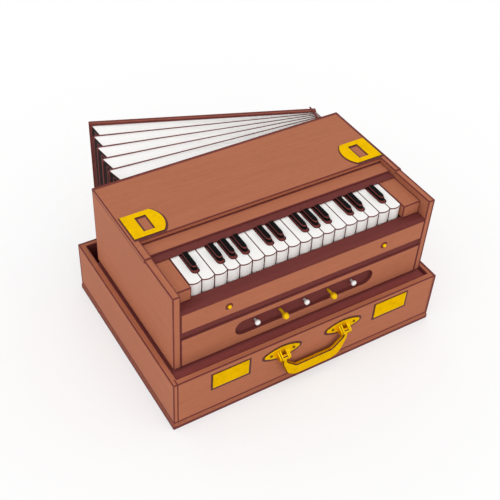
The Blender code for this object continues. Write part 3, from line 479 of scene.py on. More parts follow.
class HarmoniumKeys(bpy.types.PropertyGroup):
    ivory_colour: tint("White keys", "Colour of the white key covers and knobs", (0.92, 0.91, 0.885))
    ebony_colour: tint("Black keys", "Colour of the black keys", (0.0035, 0.003, 0.003))
    line_width: length("Key lines", "Width of the dark line on each side of a key", 0.00055, 0, 0.003)
    cover_depth: length("Cover", "Depth below the top at which the key cover ends", 0.0030,
                        0.0005, 0.005)


class HarmoniumMetal(bpy.types.PropertyGroup):
    brass_colour: tint("Brass", "Colour of the brass fittings", (0.887, 0.552, 0.005))
    shadow_colour: tint("Washer", "Colour of the leather washers behind the fittings",
                        (0.100, 0.026, 0.022))
    tarnish: factor("Tarnish", "How much of the brass is dulled", 0.35)
    plate_width: length("Plate width", "Width of the plates on the case's front", 0.0625, 0.02, 0.1)
    plate_height: length("Plate height", "Height of the plates on the case's front", 0.030, 0.01, 0.05)
    plate_thickness: length("Plate thickness", "Thickness of the plates on the front", 0.0010,
                            0.0003, 0.003)
    washer_grow: length("Washer rim", "How far a washer shows beyond its fitting", 0.0030, 0, 0.005)
    leaf_rim: length("Leaf rim", "How far a washer shows beyond the handle's leaf", 0.0048, 0, 0.008)
    screw_radius: length("Screw radius", "Radius of the screw heads", 0.0023, 0.0005, 0.004)
    screw_spread: length("Screw spread", "Distance between the two screws of a leaf", 0.041, 0.01, 0.06)


class HarmoniumBellows(bpy.types.PropertyGroup):
    card_colour: tint("Card", "Colour of the pleats", (0.94, 0.935, 0.92))
    leather_colour: tint("Leather", "Colour of the leather at the free end", (0.010, 0.008, 0.008))
    skin_thickness: length("Skin", "Thickness of the pleats", 0.0009, 0.0002, 0.003)
    crease_step: length("Creases", "Distance between the creases in the leather", 0.0042, 0.001, 0.01)
    binding_radius: length("Binding", "Radius of the strip along each ridge", 0.0012, 0.0003, 0.003)


class HarmoniumStage(bpy.types.PropertyGroup):
    floor_colour: tint("Floor", "Colour of the floor", (0.985, 0.985, 0.985))
    floor_lift: factor("Floor lift", "How far the floor is seen nearer to white", 0.5)
    room_light: bpy.props.FloatProperty(
        name="Room light", description="Strength of the even light", min=0, max=3,
        default=0.86)
    key_light: bpy.props.FloatProperty(
        name="Key light", description="Strength of the broad soft light", min=0, max=10,
        default=0.70)
    lens: bpy.props.FloatProperty(name="Lens", description="Focal length of the camera",
                                  unit="CAMERA", min=20, max=200, default=64.7)
    eye: bpy.props.FloatVectorProperty(
        name="Eye", description="Place of the camera", subtype="TRANSLATION",
        unit="LENGTH", size=3, default=(-0.61485, -0.90982, 1.12533))
    aim: bpy.props.FloatVectorProperty(
        name="Aim", description="Direction in which the camera looks",
        subtype="DIRECTION", size=3, default=(0.4071, 0.6160, -0.6744))
    roll: bpy.props.FloatProperty(
        name="Roll", description="Turn of the camera about its own line of sight",
        subtype="ANGLE", default=math.radians(3.676))


def settings_of(name):
    return getattr(bpy.context.scene, "harmonium_" + name)


def drawn(box, width, *rows):
    """A function that gives the lines along the edges of box, if there is one, and along
    the rows, each of them a start, an end and a width."""
    def share(finish):
        shares = [finish.seam(*row) for row in rows]
        if box is not None:
            shares.append(finish.box_edges(*box, width))
        return finish.most(*shares)
    return share


def case_inner_shade(finish):
    """The inner faces of the case, stained dark as painted shade in the well."""
    limits = (finish.x, CASE_HIGH.x), (finish.y, CASE_HIGH.y)
    outer = [finish.above(finish.maths("ABSOLUTE", value), limit - CASE_WALL + 2 * HAIR)
             for value, limit in limits]
    return finish.maths("SUBTRACT", 1.0, finish.most(*outer))


def side_walls(finish):
    """The case's side walls, which lap over the ends of its front and back."""
    return finish.above(finish.maths("ABSOLUTE", finish.x), LAP_LINE)


def case_edges(width, outline):
    """Lines along the case's edges, a little above its foot; those at the back and on the
    right are outlines."""
    x, y, top, low = CASE_HIGH.x, CASE_HIGH.y, CASE_HIGH.z, CASE_LOW.z + FOOT_STRIP
    x_in, y_in = x - CASE_WALL, y - CASE_WALL
    rows = [((x, -y, low), (x, -y, top), outline * RIGHT_RIM),
            ((x, -y, top), (x, y, top), outline * RIGHT_RIM),
            ((-x, y, low), (-x, y, top), outline * BACK_RIM),
            ((-x, y, top), (x, y, top), outline * BACK_RIM)]
    for side in (-1, 1):
        lap, outer, inner = side * LAP_LINE, side * y, side * y_in
        rows += [((side * x_in, -y_in, top), (side * x_in, y_in, top), width),
                 ((-x_in, inner, top), (x_in, inner, top), width),
                 ((side * x, -y, low), (side * x, y, low), width * SIDE_FOOT),
                 ((-x, outer, low), (x, outer, low), width * FRONT_FOOT),
                 ((lap, outer, low), (lap, outer, top), width * LAP_WIDTH),
                 ((lap, outer, top), (lap, inner, top), width * LAP_WIDTH)]
    return drawn(((CASE_LOW.x, CASE_LOW.y, low), CASE_HIGH), width, *rows)


def ledge_edges(width):
    """Lines along the ledge's edges and where the lid's front edge stands on it."""
    low, high = LEDGE_LOW, LEDGE_HIGH
    joint = (low.x, LID_FRONT, high.z), (high.x, LID_FRONT, high.z), width * LEDGE_JOINT
    return drawn((low, high), width, joint)


def cheek_edges(width, outline):
    """Lines along the right cheek's edges; those on its outer side are outlines."""
    low, high, wide = CHEEK_LOW, CHEEK_HIGH, outline * CHEEK_SIDE
    corner = (high.x, low.y, high.z)
    return drawn((low, high), width, ((high.x, low.y, low.z), corner, wide), (corner, high, wide))


def foot_edges(outline):
    """The outline along the foot of the floor board."""
    low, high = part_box("case_floor")
    rows = []
    for side in (-1, 1):
        x, y = side * high.x, side * high.y
        rows += [((x, low.y, low.z), (x, high.y, low.z), outline * FLOOR_SIDE),
                 ((low.x, y, low.z), (high.x, y, low.z), outline * FLOOR_FRONT)]
    return drawn(None, 0, *rows)


def lid_edges(width, outline):
    """Lines along the lid's edges; those at the back and on the right are outlines."""
    low, high, inner = LID_LOW, LID_HIGH, CHEEK_LOW.x
    rows = [((low.x, high.y, high.z), high, outline * LID_BACK),
            ((high.x, low.y, high.z), high, outline)]
    rows += [((-inner, LID_FRONT, level), (inner, LID_FRONT, level), width)
             for level in (low.z, high.z)]
    rows += [((side, low.y, high.z), (side, LID_FRONT, high.z), width) for side in (-inner, inner)]
    return drawn((low, high), width, *rows)


def board_edges(width, outline):
    """Lines along the turned edges of the bellows board."""
    reach, end = -BOARD_REACH, -NEAR_REACH
    corners = [fan_place(1) @ Vector((x, y, z))
               for z in (FOLD_LOW.z - BOARD_DROP, FOLD_HIGH.z + BOARD_RISE)
               for x, y in ((reach, BOARD_FACE), (end, BOARD_FACE), (end, BOARD_BACK),
                            (reach, BOARD_BACK))]
    rows = []
    for side in range(4):
        wide = outline * BOARD_TOP if side == 2 else width * BOARD_SIDE
        rows += [(corners[level + side], corners[level + (side + 1) % 4], wide) for level in (0, 4)]
        upright = outline if side in (0, 3) else width * BOARD_UPRIGHT
        rows.append((corners[side], corners[4 + side], upright))
    return drawn(None, 0, *rows)


def recess_dark_and_groove_shade(finish):
    """The oval recess behind the stops, stained dark, and painted shade on the board's top in the
    groove over it.
    """
    face = BOARD_LOW.y
    recess = finish.all_of(finish.between(finish.y, face + 4 * HAIR, face + OVAL_FLOOR),
                           finish.between(finish.x, -OVAL_REACH, OVAL_REACH),
                           finish.between(finish.z, OVAL_LOW, OVAL_HIGH))
    return finish.most(recess, finish.above(finish.z, BOARD_HIGH.z - 10 * HAIR))


def ledge_front_shade(finish):
    """The front face of the ledge over the keys, stained dark as painted shade."""
    return finish.below(finish.y, LEDGE_LOW.y + 5 * HAIR)


def knob_rings(finish):
    """A stained ring round the foot of each of the keyslip's two knobs."""
    radius = settings_of("wood").ring_radius
    shares = []
    for side in (-1, 1):
        place = (side * KNOB_SPREAD / 2, BODY_FRONT, (SLIP_LOW.z + SLIP_HIGH.z) / 2)
        away = finish.vector("DISTANCE", finish.place, place, result="Value")
        shares.append(finish.fade(away, radius * 0.93, radius))
    return finish.most(*shares)


def slip_knobs(finish):
    """The keyslip's two knobs, which stand out in front of the body."""
    return finish.below(finish.y, BODY_FRONT - HAIR)


class HARMONIUM_OT_woodwork(bpy.types.Operator):
    """Give the case, body, lid and rails their varnish and stain"""

    bl_idname = "harmonium.finish_woodwork"
    bl_label = "Finish woodwork"

    def execute(self, context):
        look = settings_of("wood")
        width, outline = look.edge_width, look.outline_width
        plain = (
            ("back_panel", "X", None, None),
            ("cheek_left", "Y", None, None),
            ("cheek_right", "Y", None, cheek_edges(width, outline)),
            ("front_board", "X", recess_dark_and_groove_shade, None),
            ("key_block_left", "Y", None, None),
            ("key_block_right", "Y", None, None),
            ("nameboard", "X", ledge_front_shade, ledge_edges(width)),
        )
        for index, (node, axis, dark, lines) in enumerate(plain):
            shift = (0.31 * index, 0.17 * index, 0.23 * index)
            lines = lines or drawn(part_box(node), width)
            dress(node, wood(node + "_wood", axis, look, dark, lines, shift))
        dress("lid", wood("lid_wood", "X", look, None, lid_edges(width, outline), (0.9, 0.4, 0.1)))
        dress("case_walls", wood("case_wood", "X", look, case_inner_shade,
                                 case_edges(width, outline), (0.2, 0.6, 0.5),
                                 cross=side_walls))
        dress("case_floor", wood("floor_board_wood", "X", look, None, foot_edges(outline),
                                 (0.7, 0.2, 0.3)))
        # The key rail is stained dark. The reed board, seen down the groove, and the deck at the foot
        # of the well are stained dark as painted shade, the deck less dark.
        for node, x, tone in (("key_rail", 0, 1), ("reed_board", 0.1, 1), ("deck", 0.3, 1.75)):
            dress(node, wood(node + "_dark_stain_and_shade", "X", look, shift=(x, 0, 0.4),
                             colour=Vector(look.stain_and_shade_colour) * tone))
        low = (SLIP_LOW.x, BODY_FRONT, SLIP_LOW.z)
        dress("keyslip", wood("keyslip_wood", "X", look, knob_rings,
                              drawn((low, SLIP_HIGH), width), (0.5, 0.1, 0.8),
                              metal=slip_knobs))
        dress("bellows_board", wood("bellows_board_wood", "X", look, None,
                                    board_edges(width, outline), turn=(0, 0, BELLOWS_ANGLE)))
        return {"FINISHED"}


def white_key_finish(node, keys, look):
    """White cover on top and front, a joint line under it, bare stained wood on the sides."""
    low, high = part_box(node)
    finish = Finish(node + "_cover", 0.28)
    side = finish.coordinates("Normal")[0]
    near = finish.maths("MINIMUM", finish.maths("SUBTRACT", finish.x, low.x),
                        finish.maths("SUBTRACT", high.x, finish.x))
    side_line = finish.fade(near, keys.line_width * 0.8, keys.line_width * 1.2)
    joint = finish.all_of(
        finish.between(finish.z, high.z - keys.cover_depth, high.z - JOINT_TOP),
        finish.below(finish.y, low.y + JOINT_REACH))
    flank = finish.above(finish.maths("ABSOLUTE", side), STEEP)
    under = finish.all_of(finish.below(finish.z, high.z - UNDER_TOP),
                          finish.above(finish.y, low.y + UNDER_REACH))
    cloud = finish.noise((60, 9, 60), rough=0.5)
    ivory = finish.tones(cloud, keys.ivory_colour, 0.975, 1.02)
    fibre = finish.noise((700, 25, 700), rough=0.5)
    bare = finish.tones(fibre, look.stain_and_shade_colour, 0.8, 1.2)
    dark = finish.most(side_line, joint, flank, under)
    rough = finish.maths("MULTIPLY_ADD", dark, 0.25, 0.27)
    return finish.finish(finish.mix(dark, ivory, bare), (cloud, 0.0001, 0.15),
                         rough, coat=0.25, coat_roughness=0.12)


def black_key_finish(name, keys, look):
    """A black cap with stained lines round its foot and round its flat top."""
    finish = Finish(name, 0.32)
    shoulder = finish.all_of(finish.below(finish.coordinates("Normal")[2], LEVEL),
                             finish.above(finish.z, KEY_TOP + CAP_HEIGHT - CAP_SHOULDER))
    lines = finish.most(finish.below(finish.z, KEY_TOP + CAP_FOOT), shoulder)
    fibre = finish.noise((900, 30, 900), rough=0.6)
    ebony = finish.tones(fibre, keys.ebony_colour, 0.6, 1.6)
    bare = finish.tones(fibre, look.stain_and_shade_colour, 0.85, 1.15)
    rough = finish.maths("MULTIPLY_ADD", fibre, 0.15, 0.30)
    return finish.finish(finish.mix(lines, ebony, bare), (fibre, 0.00006, 0.3), rough, specular=0.03)


def white_knob_finish(name, keys):
    """A white knob, with painted shade on its neck in the hole behind the body's front."""
    finish = Finish(name, 0.30)
    cloud = finish.noise(400, rough=0.5)
    colour = finish.tones(cloud, keys.ivory_colour, 0.96, 1.03)
    # Painted shade on the neck, in the hole behind the body's front.
    neck = finish.above(finish.y, BODY_FRONT + KNOB_NECK)
    colour = finish.mix(neck, colour, Vector(keys.ivory_colour) * 0.55)
    return finish.finish(colour, (cloud, 0.00008, 0.3), coat=0.3)


class HARMONIUM_OT_keys(bpy.types.Operator):
    """Give the keys and the white knobs their covers"""

    bl_idname = "harmonium.finish_keys"
    bl_label = "Finish keys"

    def execute(self, context):
        keys, look = settings_of("keys"), settings_of("wood")
        black = black_key_finish("black_key_ebony", keys, look)
        knob = white_knob_finish("knob_ivory", keys)
        for node in sorted(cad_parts):
            if node.startswith("black_key"):
                dress(node, black)
            elif node.startswith("white_key"):
                dress(node, white_key_finish(node, keys, look))
            elif node.startswith("stop_white"):
                dress(node, knob)
        return {"FINISHED"}


def bail_line_and_shadow(finish):
    """Dark bands along both faces of the bail: a line along the front, and along the back a painted
    shadow of the bail on the wood.
    """
    front, back = BAIL_Y - BAIL_THICKNESS / 2, BAIL_Y + BAIL_THICKNESS / 2
    return finish.most(finish.between(finish.y, front + BAIL_FLAT, front + BAIL_LINE),
                       finish.between(finish.y, back - BAIL_LINE, back - BAIL_FLAT))


class HARMONIUM_OT_metal(bpy.types.Operator):
    """Give the handle, its leaves, the corner plates and the brass stops their brass"""

    bl_idname = "harmonium.finish_metal"
    bl_label = "Finish metal"

    def execute(self, context):
        metal = settings_of("metal")
        fitting = brass("fitting_brass", metal)
        lacquered = brass("stop_brass", metal, metallic=0.45)
        for side in ("left", "right"):
            dress("escutcheon_" + side, fitting)
            dress("d_plate_" + side, fitting)
        for number in (2, 4):
            dress(f"stop_brass_{number}", lacquered)
        dress("handle_bail", brass("bail_brass", metal, bail_line_and_shadow))
        return {"FINISHED"}


def leather(name, colour):
    finish = Finish(name, 0.62)
    shade = finish.tones(finish.noise(80), colour, 0.75, 1.25)
    return finish.finish(shade, (finish.cells(1400), 0.0001, 0.4), specular=0.25)


def add_washer(name, node, axis, face, grow, material, shift):
    """A thin washer behind a fitting: the fitting's back face, grown past its outline and moved by
    shift as a painted shadow of the fitting.
    """
    along = Vector(axis)
    bm = bmesh.new()
    bm.from_mesh(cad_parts[node].data)
    bmesh.ops.remove_doubles(bm, verts=bm.verts, dist=1e-6)
    back = min(v.co.dot(along) for v in bm.verts)
    bm.normal_update()
    others = [f for f in bm.faces if f.normal.dot(along) > -0.99
              or f.calc_center_median().dot(along) > back + HAIR]
    bmesh.ops.delete(bm, geom=others, context="FACES")
    bmesh.ops.reverse_faces(bm, faces=bm.faces)
    rim = bmesh.ops.inset_region(bm, faces=bm.faces[:], thickness=-grow,
                                 use_even_offset=True, use_boundary=True)["faces"]
    bmesh.ops.delete(bm, geom=rim, context="FACES")
    for vert in bm.verts:
        vert.co += along * (face + WASHER_GAP - vert.co.dot(along)) + Vector(shift)
    top = bmesh.ops.extrude_face_region(bm, geom=bm.faces[:], use_keep_orig=True)["geom"]
    bmesh.ops.translate(bm, vec=along * WASHER_THICKNESS, verts=only(top, BMVert))
    bmesh.ops.recalc_face_normals(bm, faces=bm.faces)
    add_piece(name, bm, [material])


def screw_mesh(centre, axis, radius, turn):
    """A domed screw head with a slot, its face looking along axis."""
    bm = bmesh.new()
    bmesh.ops.create_cone(bm, cap_ends=True, segments=20, radius1=radius, radius2=radius,
                          depth=radius * 0.5)
    bevel_edges(bm, [e for e in bm.edges if all(v.co.z > 0 for v in e.verts)], radius * 0.35)
    faces = [f for f in bm.faces if all(v.co.z > radius * 0.2 for v in f.verts) and f.normal.z > 0.99]
    geom = list({e for f in faces for e in f.edges} | {v for f in faces for v in f.verts})
    for side in (-1, 1):
        cut = bmesh.ops.bisect_plane(bm, geom=geom + faces, plane_no=(0, 1, 0),
                                     plane_co=(0, side * radius * 0.13, 0))["geom"]
        faces = only(cut, BMFace)
        geom = [item for item in cut if item not in faces]
    slot = [f for f in faces if abs(f.calc_center_median().y) < radius * 0.1]
    sunk = bmesh.ops.extrude_face_region(bm, geom=slot)["geom"]
    bmesh.ops.translate(bm, vec=(0, 0, -radius * 0.18), verts=only(sunk, BMVert))
    bmesh.ops.delete(bm, geom=[f for f in slot if f.is_valid], context="FACES")
    turned = Vector((0, 0, 1)).rotation_difference(Vector(axis)).to_matrix().to_4x4()
    place = Matrix.Translation(centre) @ turned @ Matrix.Rotation(turn, 4, "Z")
    bmesh.ops.transform(bm, matrix=place, verts=bm.verts)
    return as_mesh("screw", bm)


def add_front_plate(side, metal, plate, hide):
    """A plate with a sunk field and a pin in each corner, and the washer behind it."""
    x, z = PLATE_PLACES[side]
    half_x, half_z = metal.plate_width / 2, metal.plate_height / 2
    back = CASE_LOW.y - FITTING_GAP
    low = Vector((x - half_x, back - metal.plate_thickness, z - half_z))
    high = Vector((x + half_x, back, z + half_z))
    bm = block(low, high)
    front = [f for f in bm.faces if f.normal.y < -0.9]
    bmesh.ops.inset_region(bm, faces=front, thickness=PLATE_RIM)
    bmesh.ops.translate(bm, vec=(0, PLATE_SUNK, 0), verts=list({v for f in front for v in f.verts}))
    for right in (-1, 1):
        for up in (-1, 1):
            centre = (x + right * (half_x - PIN_INSET), low.y + PIN_RISE, z + up * (half_z - PIN_INSET))
            squash = Matrix.Translation(centre) @ Matrix.Diagonal((1, PIN_FLATNESS, 1, 1))
            bmesh.ops.create_uvsphere(bm, u_segments=12, v_segments=8, radius=PIN_RADIUS, matrix=squash)
    add_bevel(add_piece("front_plate_" + side, bm, [plate]), 0.00025)
    grow, face = metal.washer_grow, CASE_LOW.y - WASHER_GAP
    # The washer shows further to the right of the plate and below it, as the plate's painted shadow.
    bm = block((low.x - grow, face - WASHER_THICKNESS, low.z - grow - PLATE_SHADOW_DOWN),
               (high.x + grow + PLATE_SHADOW_RIGHT, face, high.z + grow - PLATE_SHADOW_UP))
    add_piece("front_plate_washer_" + side, bm, [hide])


def add_leaf_screws(side, metal, head):
    """The two screws that hold a leaf of the handle."""
    low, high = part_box("escutcheon_" + side)
    middle, radius = (low + high) / 2, metal.screw_radius
    bm = bmesh.new()
    for index, end in enumerate((-1, 1)):
        centre = (middle.x + end * metal.screw_spread / 2,
                  CASE_LOW.y - FITTING_GAP - LEAF_THICKNESS - radius * 0.25,
                  middle.z + SCREW_LIFT)
        screw = screw_mesh(centre, (0, -1, 0), radius, 0.6 + 1.1 * index)
        bm.from_mesh(screw)
        bpy.data.meshes.remove(screw)
    add_piece("leaf_screws_" + side, bm, [head])


class HARMONIUM_OT_trim(bpy.types.Operator):
    """Add the front plates, the washers behind the brass fittings and their screws"""

    bl_idname = "harmonium.add_trim"
    bl_label = "Add trim"

    def execute(self, context):
        metal = settings_of("metal")
        hide = leather("washer_leather", metal.shadow_colour)
        plate = brass("plate_brass", metal)
        head = brass("screw_brass", metal, lambda finish: 0.88)
        for side in ("left", "right"):
            add_front_plate(side, metal, plate, hide)
        for side in ("left", "right"):
            add_leaf_screws(side, metal, head)
        for side in ("left", "right"):
            add_washer("escutcheon_washer_" + side, "escutcheon_" + side, (0, -1, 0),
                       -CASE_LOW.y, metal.leaf_rim, hide, LEAF_SHADOW_SHIFT)
            add_washer("corner_plate_washer_" + side, "d_plate_" + side, (0, 0, 1),
                       LID_HIGH.z, metal.washer_grow, hide, CORNER_SHADOW_SHIFT)
        return {"FINISHED"}


class HARMONIUM_OT_felt(bpy.types.Operator):
    """Add the dark felt strip that closes the slot between the ledge and the keys and paints the shade
    under the ledge
    """

    bl_idname = "harmonium.add_felt"
    bl_label = "Add felt strip"

    def execute(self, context):
        finish = Finish("key_felt", 0.95)
        fuzz = finish.noise(2500, 4.0, 0.7)
        colour = finish.tones(finish.all_of(fuzz, finish.noise(120)),
                              settings_of("wood").stain_and_shade_colour, 0.8, 1.5)
        material = finish.finish(colour, (fuzz, 0.0003, 0.6), specular=0.1)
        low = Vector((LEDGE_LOW.x, LEDGE_LOW.y - FELT_REACH, KEY_TOP + FELT_LOW))
        bm = block(low, (LEDGE_HIGH.x, LEDGE_LOW.y - FELT_GAP, KEY_TOP + FELT_HIGH))
        front = [e for e in edges_along(bm, 0) if all(v.co.y < low.y + 1e-5 for v in e.verts)]
        bevel_edges(bm, front, FELT_ROUND)
        add_piece("key_felt_shade_strip", bm, [material])
        return {"FINISHED"}


def card_finish(bellows, look):
    """White card with stained lines along its ridges, by the skin's UV map; the lines grow
    finer towards the hinge."""
    finish = Finish("bellows_card", 0.75)
    v = finish.coordinates("UV")[1]
    fibre = finish.noise((300, 300, 900), 4.0, 0.6)
    paper = finish.tones(finish.noise(18, rough=0.5), bellows.card_colour, 0.96, 1.03)
    open_share = finish.ramp(finish.x, 0.19, -0.10)
    line = finish.below(v, finish.maths("MULTIPLY_ADD", open_share, 0.0008, 0.0001))
    colour = finish.mix(line, paper, look.stain_and_shade_colour)
    return finish.finish(colour, (fibre, 0.00015, 0.35), specular=0.2)


def end_finish(bellows, look):
    """Black leather with nested creases that follow the ridge and turn over at the top."""
    finish = Finish("bellows_end_leather", 0.60)
    u, v = finish.coordinates("UV")[:2]
    down = finish.maths("MINIMUM", v, finish.maths("SUBTRACT", FOLD_HIGH.z - FOLD_LOW.z, v))
    slant = finish.maths("MULTIPLY", finish.maths("SUBTRACT", down, u), 0.7071)
    soft = finish.maths("SMOOTH_MIN", u, slant, 0.004)
    ring = finish.maths("FRACT", finish.maths("DIVIDE", soft, bellows.crease_step))
    crease = finish.most(finish.below(ring, 0.26), finish.below(soft, 0.0010))
    cell = finish.cells(900)
    colour = finish.mix(crease, finish.tones(cell, bellows.leather_colour, 0.7, 1.6),
                        finish.tones(cell, look.stain_and_shade_colour, 0.85, 1.15))
    raised = finish.maths("ADD", finish.maths("MULTIPLY", cell, 0.15), crease)
    return finish.finish(colour, (raised, 0.0004, 0.6), specular=0.2)


def fold_skin(index):
    """A closed band from one ridge in to the valley and out to the next ridge."""
    top, bottom = FOLD_HIGH.z, FOLD_LOW.z
    bm = bmesh.new()
    ring = [bm.verts.new(place) for place in (
        (-NEAR_REACH, 0, bottom), (-FAR_REACH, 0, bottom), (-FAR_REACH, 0, top),
        (-NEAR_REACH, 0, top))]
    edges = [bm.edges.new((a, b)) for a, b in zip(ring, ring[1:] + ring[:1])]
    rings = [ring]
    for _ in range(2):
        grown = bmesh.ops.extrude_edge_only(bm, edges=edges)["geom"]
        ring = only(grown, BMVert)
        edges = [e for e in only(grown, BMEdge) if all(v in ring for v in e.verts)]
        rings.append(ring)
    for step, (ring, inset) in enumerate(zip(rings, (0, FOLD_DEPTH, 0))):
        for vert in ring:
            vert.co.z += inset if vert.co.z < (top + bottom) / 2 else -inset
            if vert.co.x < -FAR_REACH / 2:
                vert.co.x += inset
            elif inset:
                vert.co.x -= NEAR_INSET
        place = fan_place((index + step / 2) / FOLD_COUNT)
        bmesh.ops.transform(bm, matrix=place, verts=ring)
    bmesh.ops.recalc_face_normals(bm, faces=bm.faces)
    return bm


def point_outwards(bm):
    """Turns the band so that its top strips look up."""
    tops = [f for f in bm.faces if f.calc_center_median().z > FOLD_HIGH.z - FOLD_DEPTH]
    if sum(f.normal.z for f in tops) < 0:
        bmesh.ops.reverse_faces(bm, faces=bm.faces)


def map_skin(bm):
    """UV in metres: v is the way in from the ridge and u runs along it; on the end strips
    u is the way in and v the way down."""
    layer = bm.loops.layers.uv.new("Skin")
    top, bottom = FOLD_HIGH.z, FOLD_LOW.z
    for face in bm.faces:
        end = all(v.co.x < HINGE_X - FAR_REACH / 2 for v in face.verts)
        face.material_index = 1 if end else 0
        for loop in face.loops:
            place = loop.vert.co
            ridge = min(abs(place.z - top), abs(place.z - bottom)) < 0.001
            inward = 0.0 if ridge else FOLD_DEPTH
            loop[layer].uv = (inward, top - place.z) if end else (place.x, inward)


def add_skin(index, bellows, materials):
    """The card and leather of one fold, reaching between the two bodies that it joins."""
    bm = fold_skin(index)
    point_outwards(bm)
    map_skin(bm)
    skin = add_piece(f"bellows_skin_{index + 1}", bm, materials, None)
    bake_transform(skin)
    thick = skin.modifiers.new("Thickness", "SOLIDIFY")
    thick.thickness = bellows.skin_thickness
    thick.offset = -1
    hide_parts(f"bellows_fold_{index + 1}")


def add_binding(index, bellows, material):
    """A round strip along a ridge: straight runs and two turned corners."""
    top, bottom, corner = FOLD_HIGH.z, FOLD_LOW.z, BINDING_CORNER
    radius, lift = bellows.binding_radius, 0.0
    if index in (0, FOLD_COUNT):
        lift = radius if index == 0 else -radius
        radius *= 0.8
    bm = bmesh.new()
    start = Matrix.Translation((-NEAR_REACH, 0, bottom)) @ Matrix.Rotation(math.pi / 2, 4, "Y")
    bmesh.ops.create_circle(bm, cap_ends=False, segments=8, radius=radius * NEAR_SHARE, matrix=start)
    edges = bm.edges[:]
    reach = FAR_REACH - NEAR_REACH - corner
    # Each run: its way, how much it grows about which height, and the height it turns about.
    runs = (((-reach, 0, 0), 1 / NEAR_SHARE, bottom, bottom + corner),
            ((0, 0, top - bottom - 2 * corner), 1, top, top - corner),
            ((reach, 0, 0), NEAR_SHARE, top, None))
    for run, grow, level, height in runs:
        grown = bmesh.ops.extrude_edge_only(bm, edges=edges)["geom"]
        tips = only(grown, BMVert)
        edges = [e for e in only(grown, BMEdge) if all(v in tips for v in e.verts)]
        bmesh.ops.translate(bm, vec=run, verts=tips)
        bmesh.ops.scale(bm, vec=(1, grow, grow), verts=tips, space=Matrix.Translation((0, 0, -level)))
        if height is not None:
            spun = bmesh.ops.spin(bm, geom=edges, cent=(corner - FAR_REACH, 0, height),
                                  axis=(0, 1, 0), angle=math.pi / 2, steps=4)["geom_last"]
            edges = only(spun, BMEdge)
    bmesh.ops.holes_fill(bm, edges=[e for e in bm.edges if e.is_boundary], sides=8)
    bmesh.ops.recalc_face_normals(bm, faces=bm.faces)
    place = fan_place(index / FOLD_COUNT) @ Matrix.Translation((0, lift, 0))
    bmesh.ops.transform(bm, matrix=place, verts=bm.verts)
    add_piece(f"ridge_binding_{index}", bm, [material], CHAIN[index], smooth=True)


def add_hinge_leather(material):
    """The leather sleeve over the knuckle on which the board turns."""
    low, high = FOLD_LOW.z, KNUCKLE_TOP
    bm = bmesh.new()
    bmesh.ops.create_cone(bm, cap_ends=True, segments=20, radius1=KNUCKLE_RADIUS,
                          radius2=KNUCKLE_RADIUS, depth=high - low,
                          matrix=Matrix.Translation((HINGE_X, HINGE_Y, (low + high) / 2)))
    caps = [e for e in bm.edges if abs(e.verts[0].co.z - e.verts[1].co.z) < 1e-6]
    bevel_edges(bm, caps, 0.0005, 2)
    add_piece("hinge_leather", bm, [material], smooth=True)


def add_intake_flap(material):
    """The leather flap inside the board that lets air in and keeps it in."""
    x, z = -NEAR_REACH - (FAR_REACH - NEAR_REACH) / 2, (FOLD_LOW.z + FOLD_HIGH.z) / 2
    bm = block((x - FLAP_REACH, -FLAP_BACK, z - FLAP_DOWN), (x + FLAP_REACH, -FLAP_FACE, z + FLAP_UP))
    bevel_edges(bm, edges_along(bm, 1), 0.003)
    bmesh.ops.transform(bm, matrix=fan_place(1), verts=bm.verts)
    add_piece("intake_flap", bm, [material], "bellows")


def add_catch(material):
    """The catch that crosses the hinged end of the bellows from the back of the lid."""
    run = CATCH_END - CATCH_START
    bm = block((0, -CATCH_HALF, 0), (run.length, CATCH_HALF, CATCH_THICKNESS))
    bevel_edges(bm, edges_along(bm, 2), 0.0012)
    place = Matrix.Translation((CATCH_START.x, CATCH_START.y, FOLD_HIGH.z + CATCH_LIFT))
    turn = Matrix.Rotation(math.atan2(run.y, run.x), 4, "Z")
    bmesh.ops.transform(bm, matrix=place @ turn, verts=bm.verts)
    add_bevel(add_piece("bellows_catch", bm, [material]), 0.0002)


class HARMONIUM_OT_bellows(bpy.types.Operator):
    """Add the pleated skins of the bellows, their bindings and the hinge leather"""

    bl_idname = "harmonium.add_bellows"
    bl_label = "Add bellows"

    def execute(self, context):
        bellows, look = settings_of("bellows"), settings_of("wood")
        card, end = card_finish(bellows, look), end_finish(bellows, look)
        for index in range(FOLD_COUNT):
            add_skin(index, bellows, [card, end])
        binding = leather("binding_leather", look.stain_and_shade_colour)
        for index in range(FOLD_COUNT + 1):
            add_binding(index, bellows, binding)
        add_hinge_leather(leather("hinge_leather_finish", bellows.leather_colour))
        add_intake_flap(leather("flap_leather", (0.25, 0.12, 0.06)))
        add_catch(wood("strap_wood", "Y", look, colour=look.stain_and_shade_colour))
        return {"FINISHED"}


def show_seen(tree, shader, seen, output, lift=1.0):
    """Lifts the shader towards the seen one by lift, for rays that see the backdrop:
    straight, mirrored or through glass."""
    def join(kind, sockets, operation=None):
        node = tree.nodes.new("ShaderNode" + kind)
        if operation is not None:
            node.operation = operation
        for index, value in enumerate(sockets):
            if isinstance(value, float):
                node.inputs[index].default_value = value
            else:
                tree.links.new(value, node.inputs[index])
        return node.outputs[0]

    rays = tree.nodes.new("ShaderNodeLightPath").outputs
    share = join("Math", (rays["Is Camera Ray"], rays["Is Glossy Ray"]), "MAXIMUM")
    share = join("Math", (share, rays["Is Transmission Ray"]), "MAXIMUM")
    share = join("Math", (share, lift), "MULTIPLY")
    mixed = join("MixShader", (share, shader.outputs[0], seen.outputs[0]))
    tree.links.new(mixed, tree.nodes[output].inputs["Surface"])


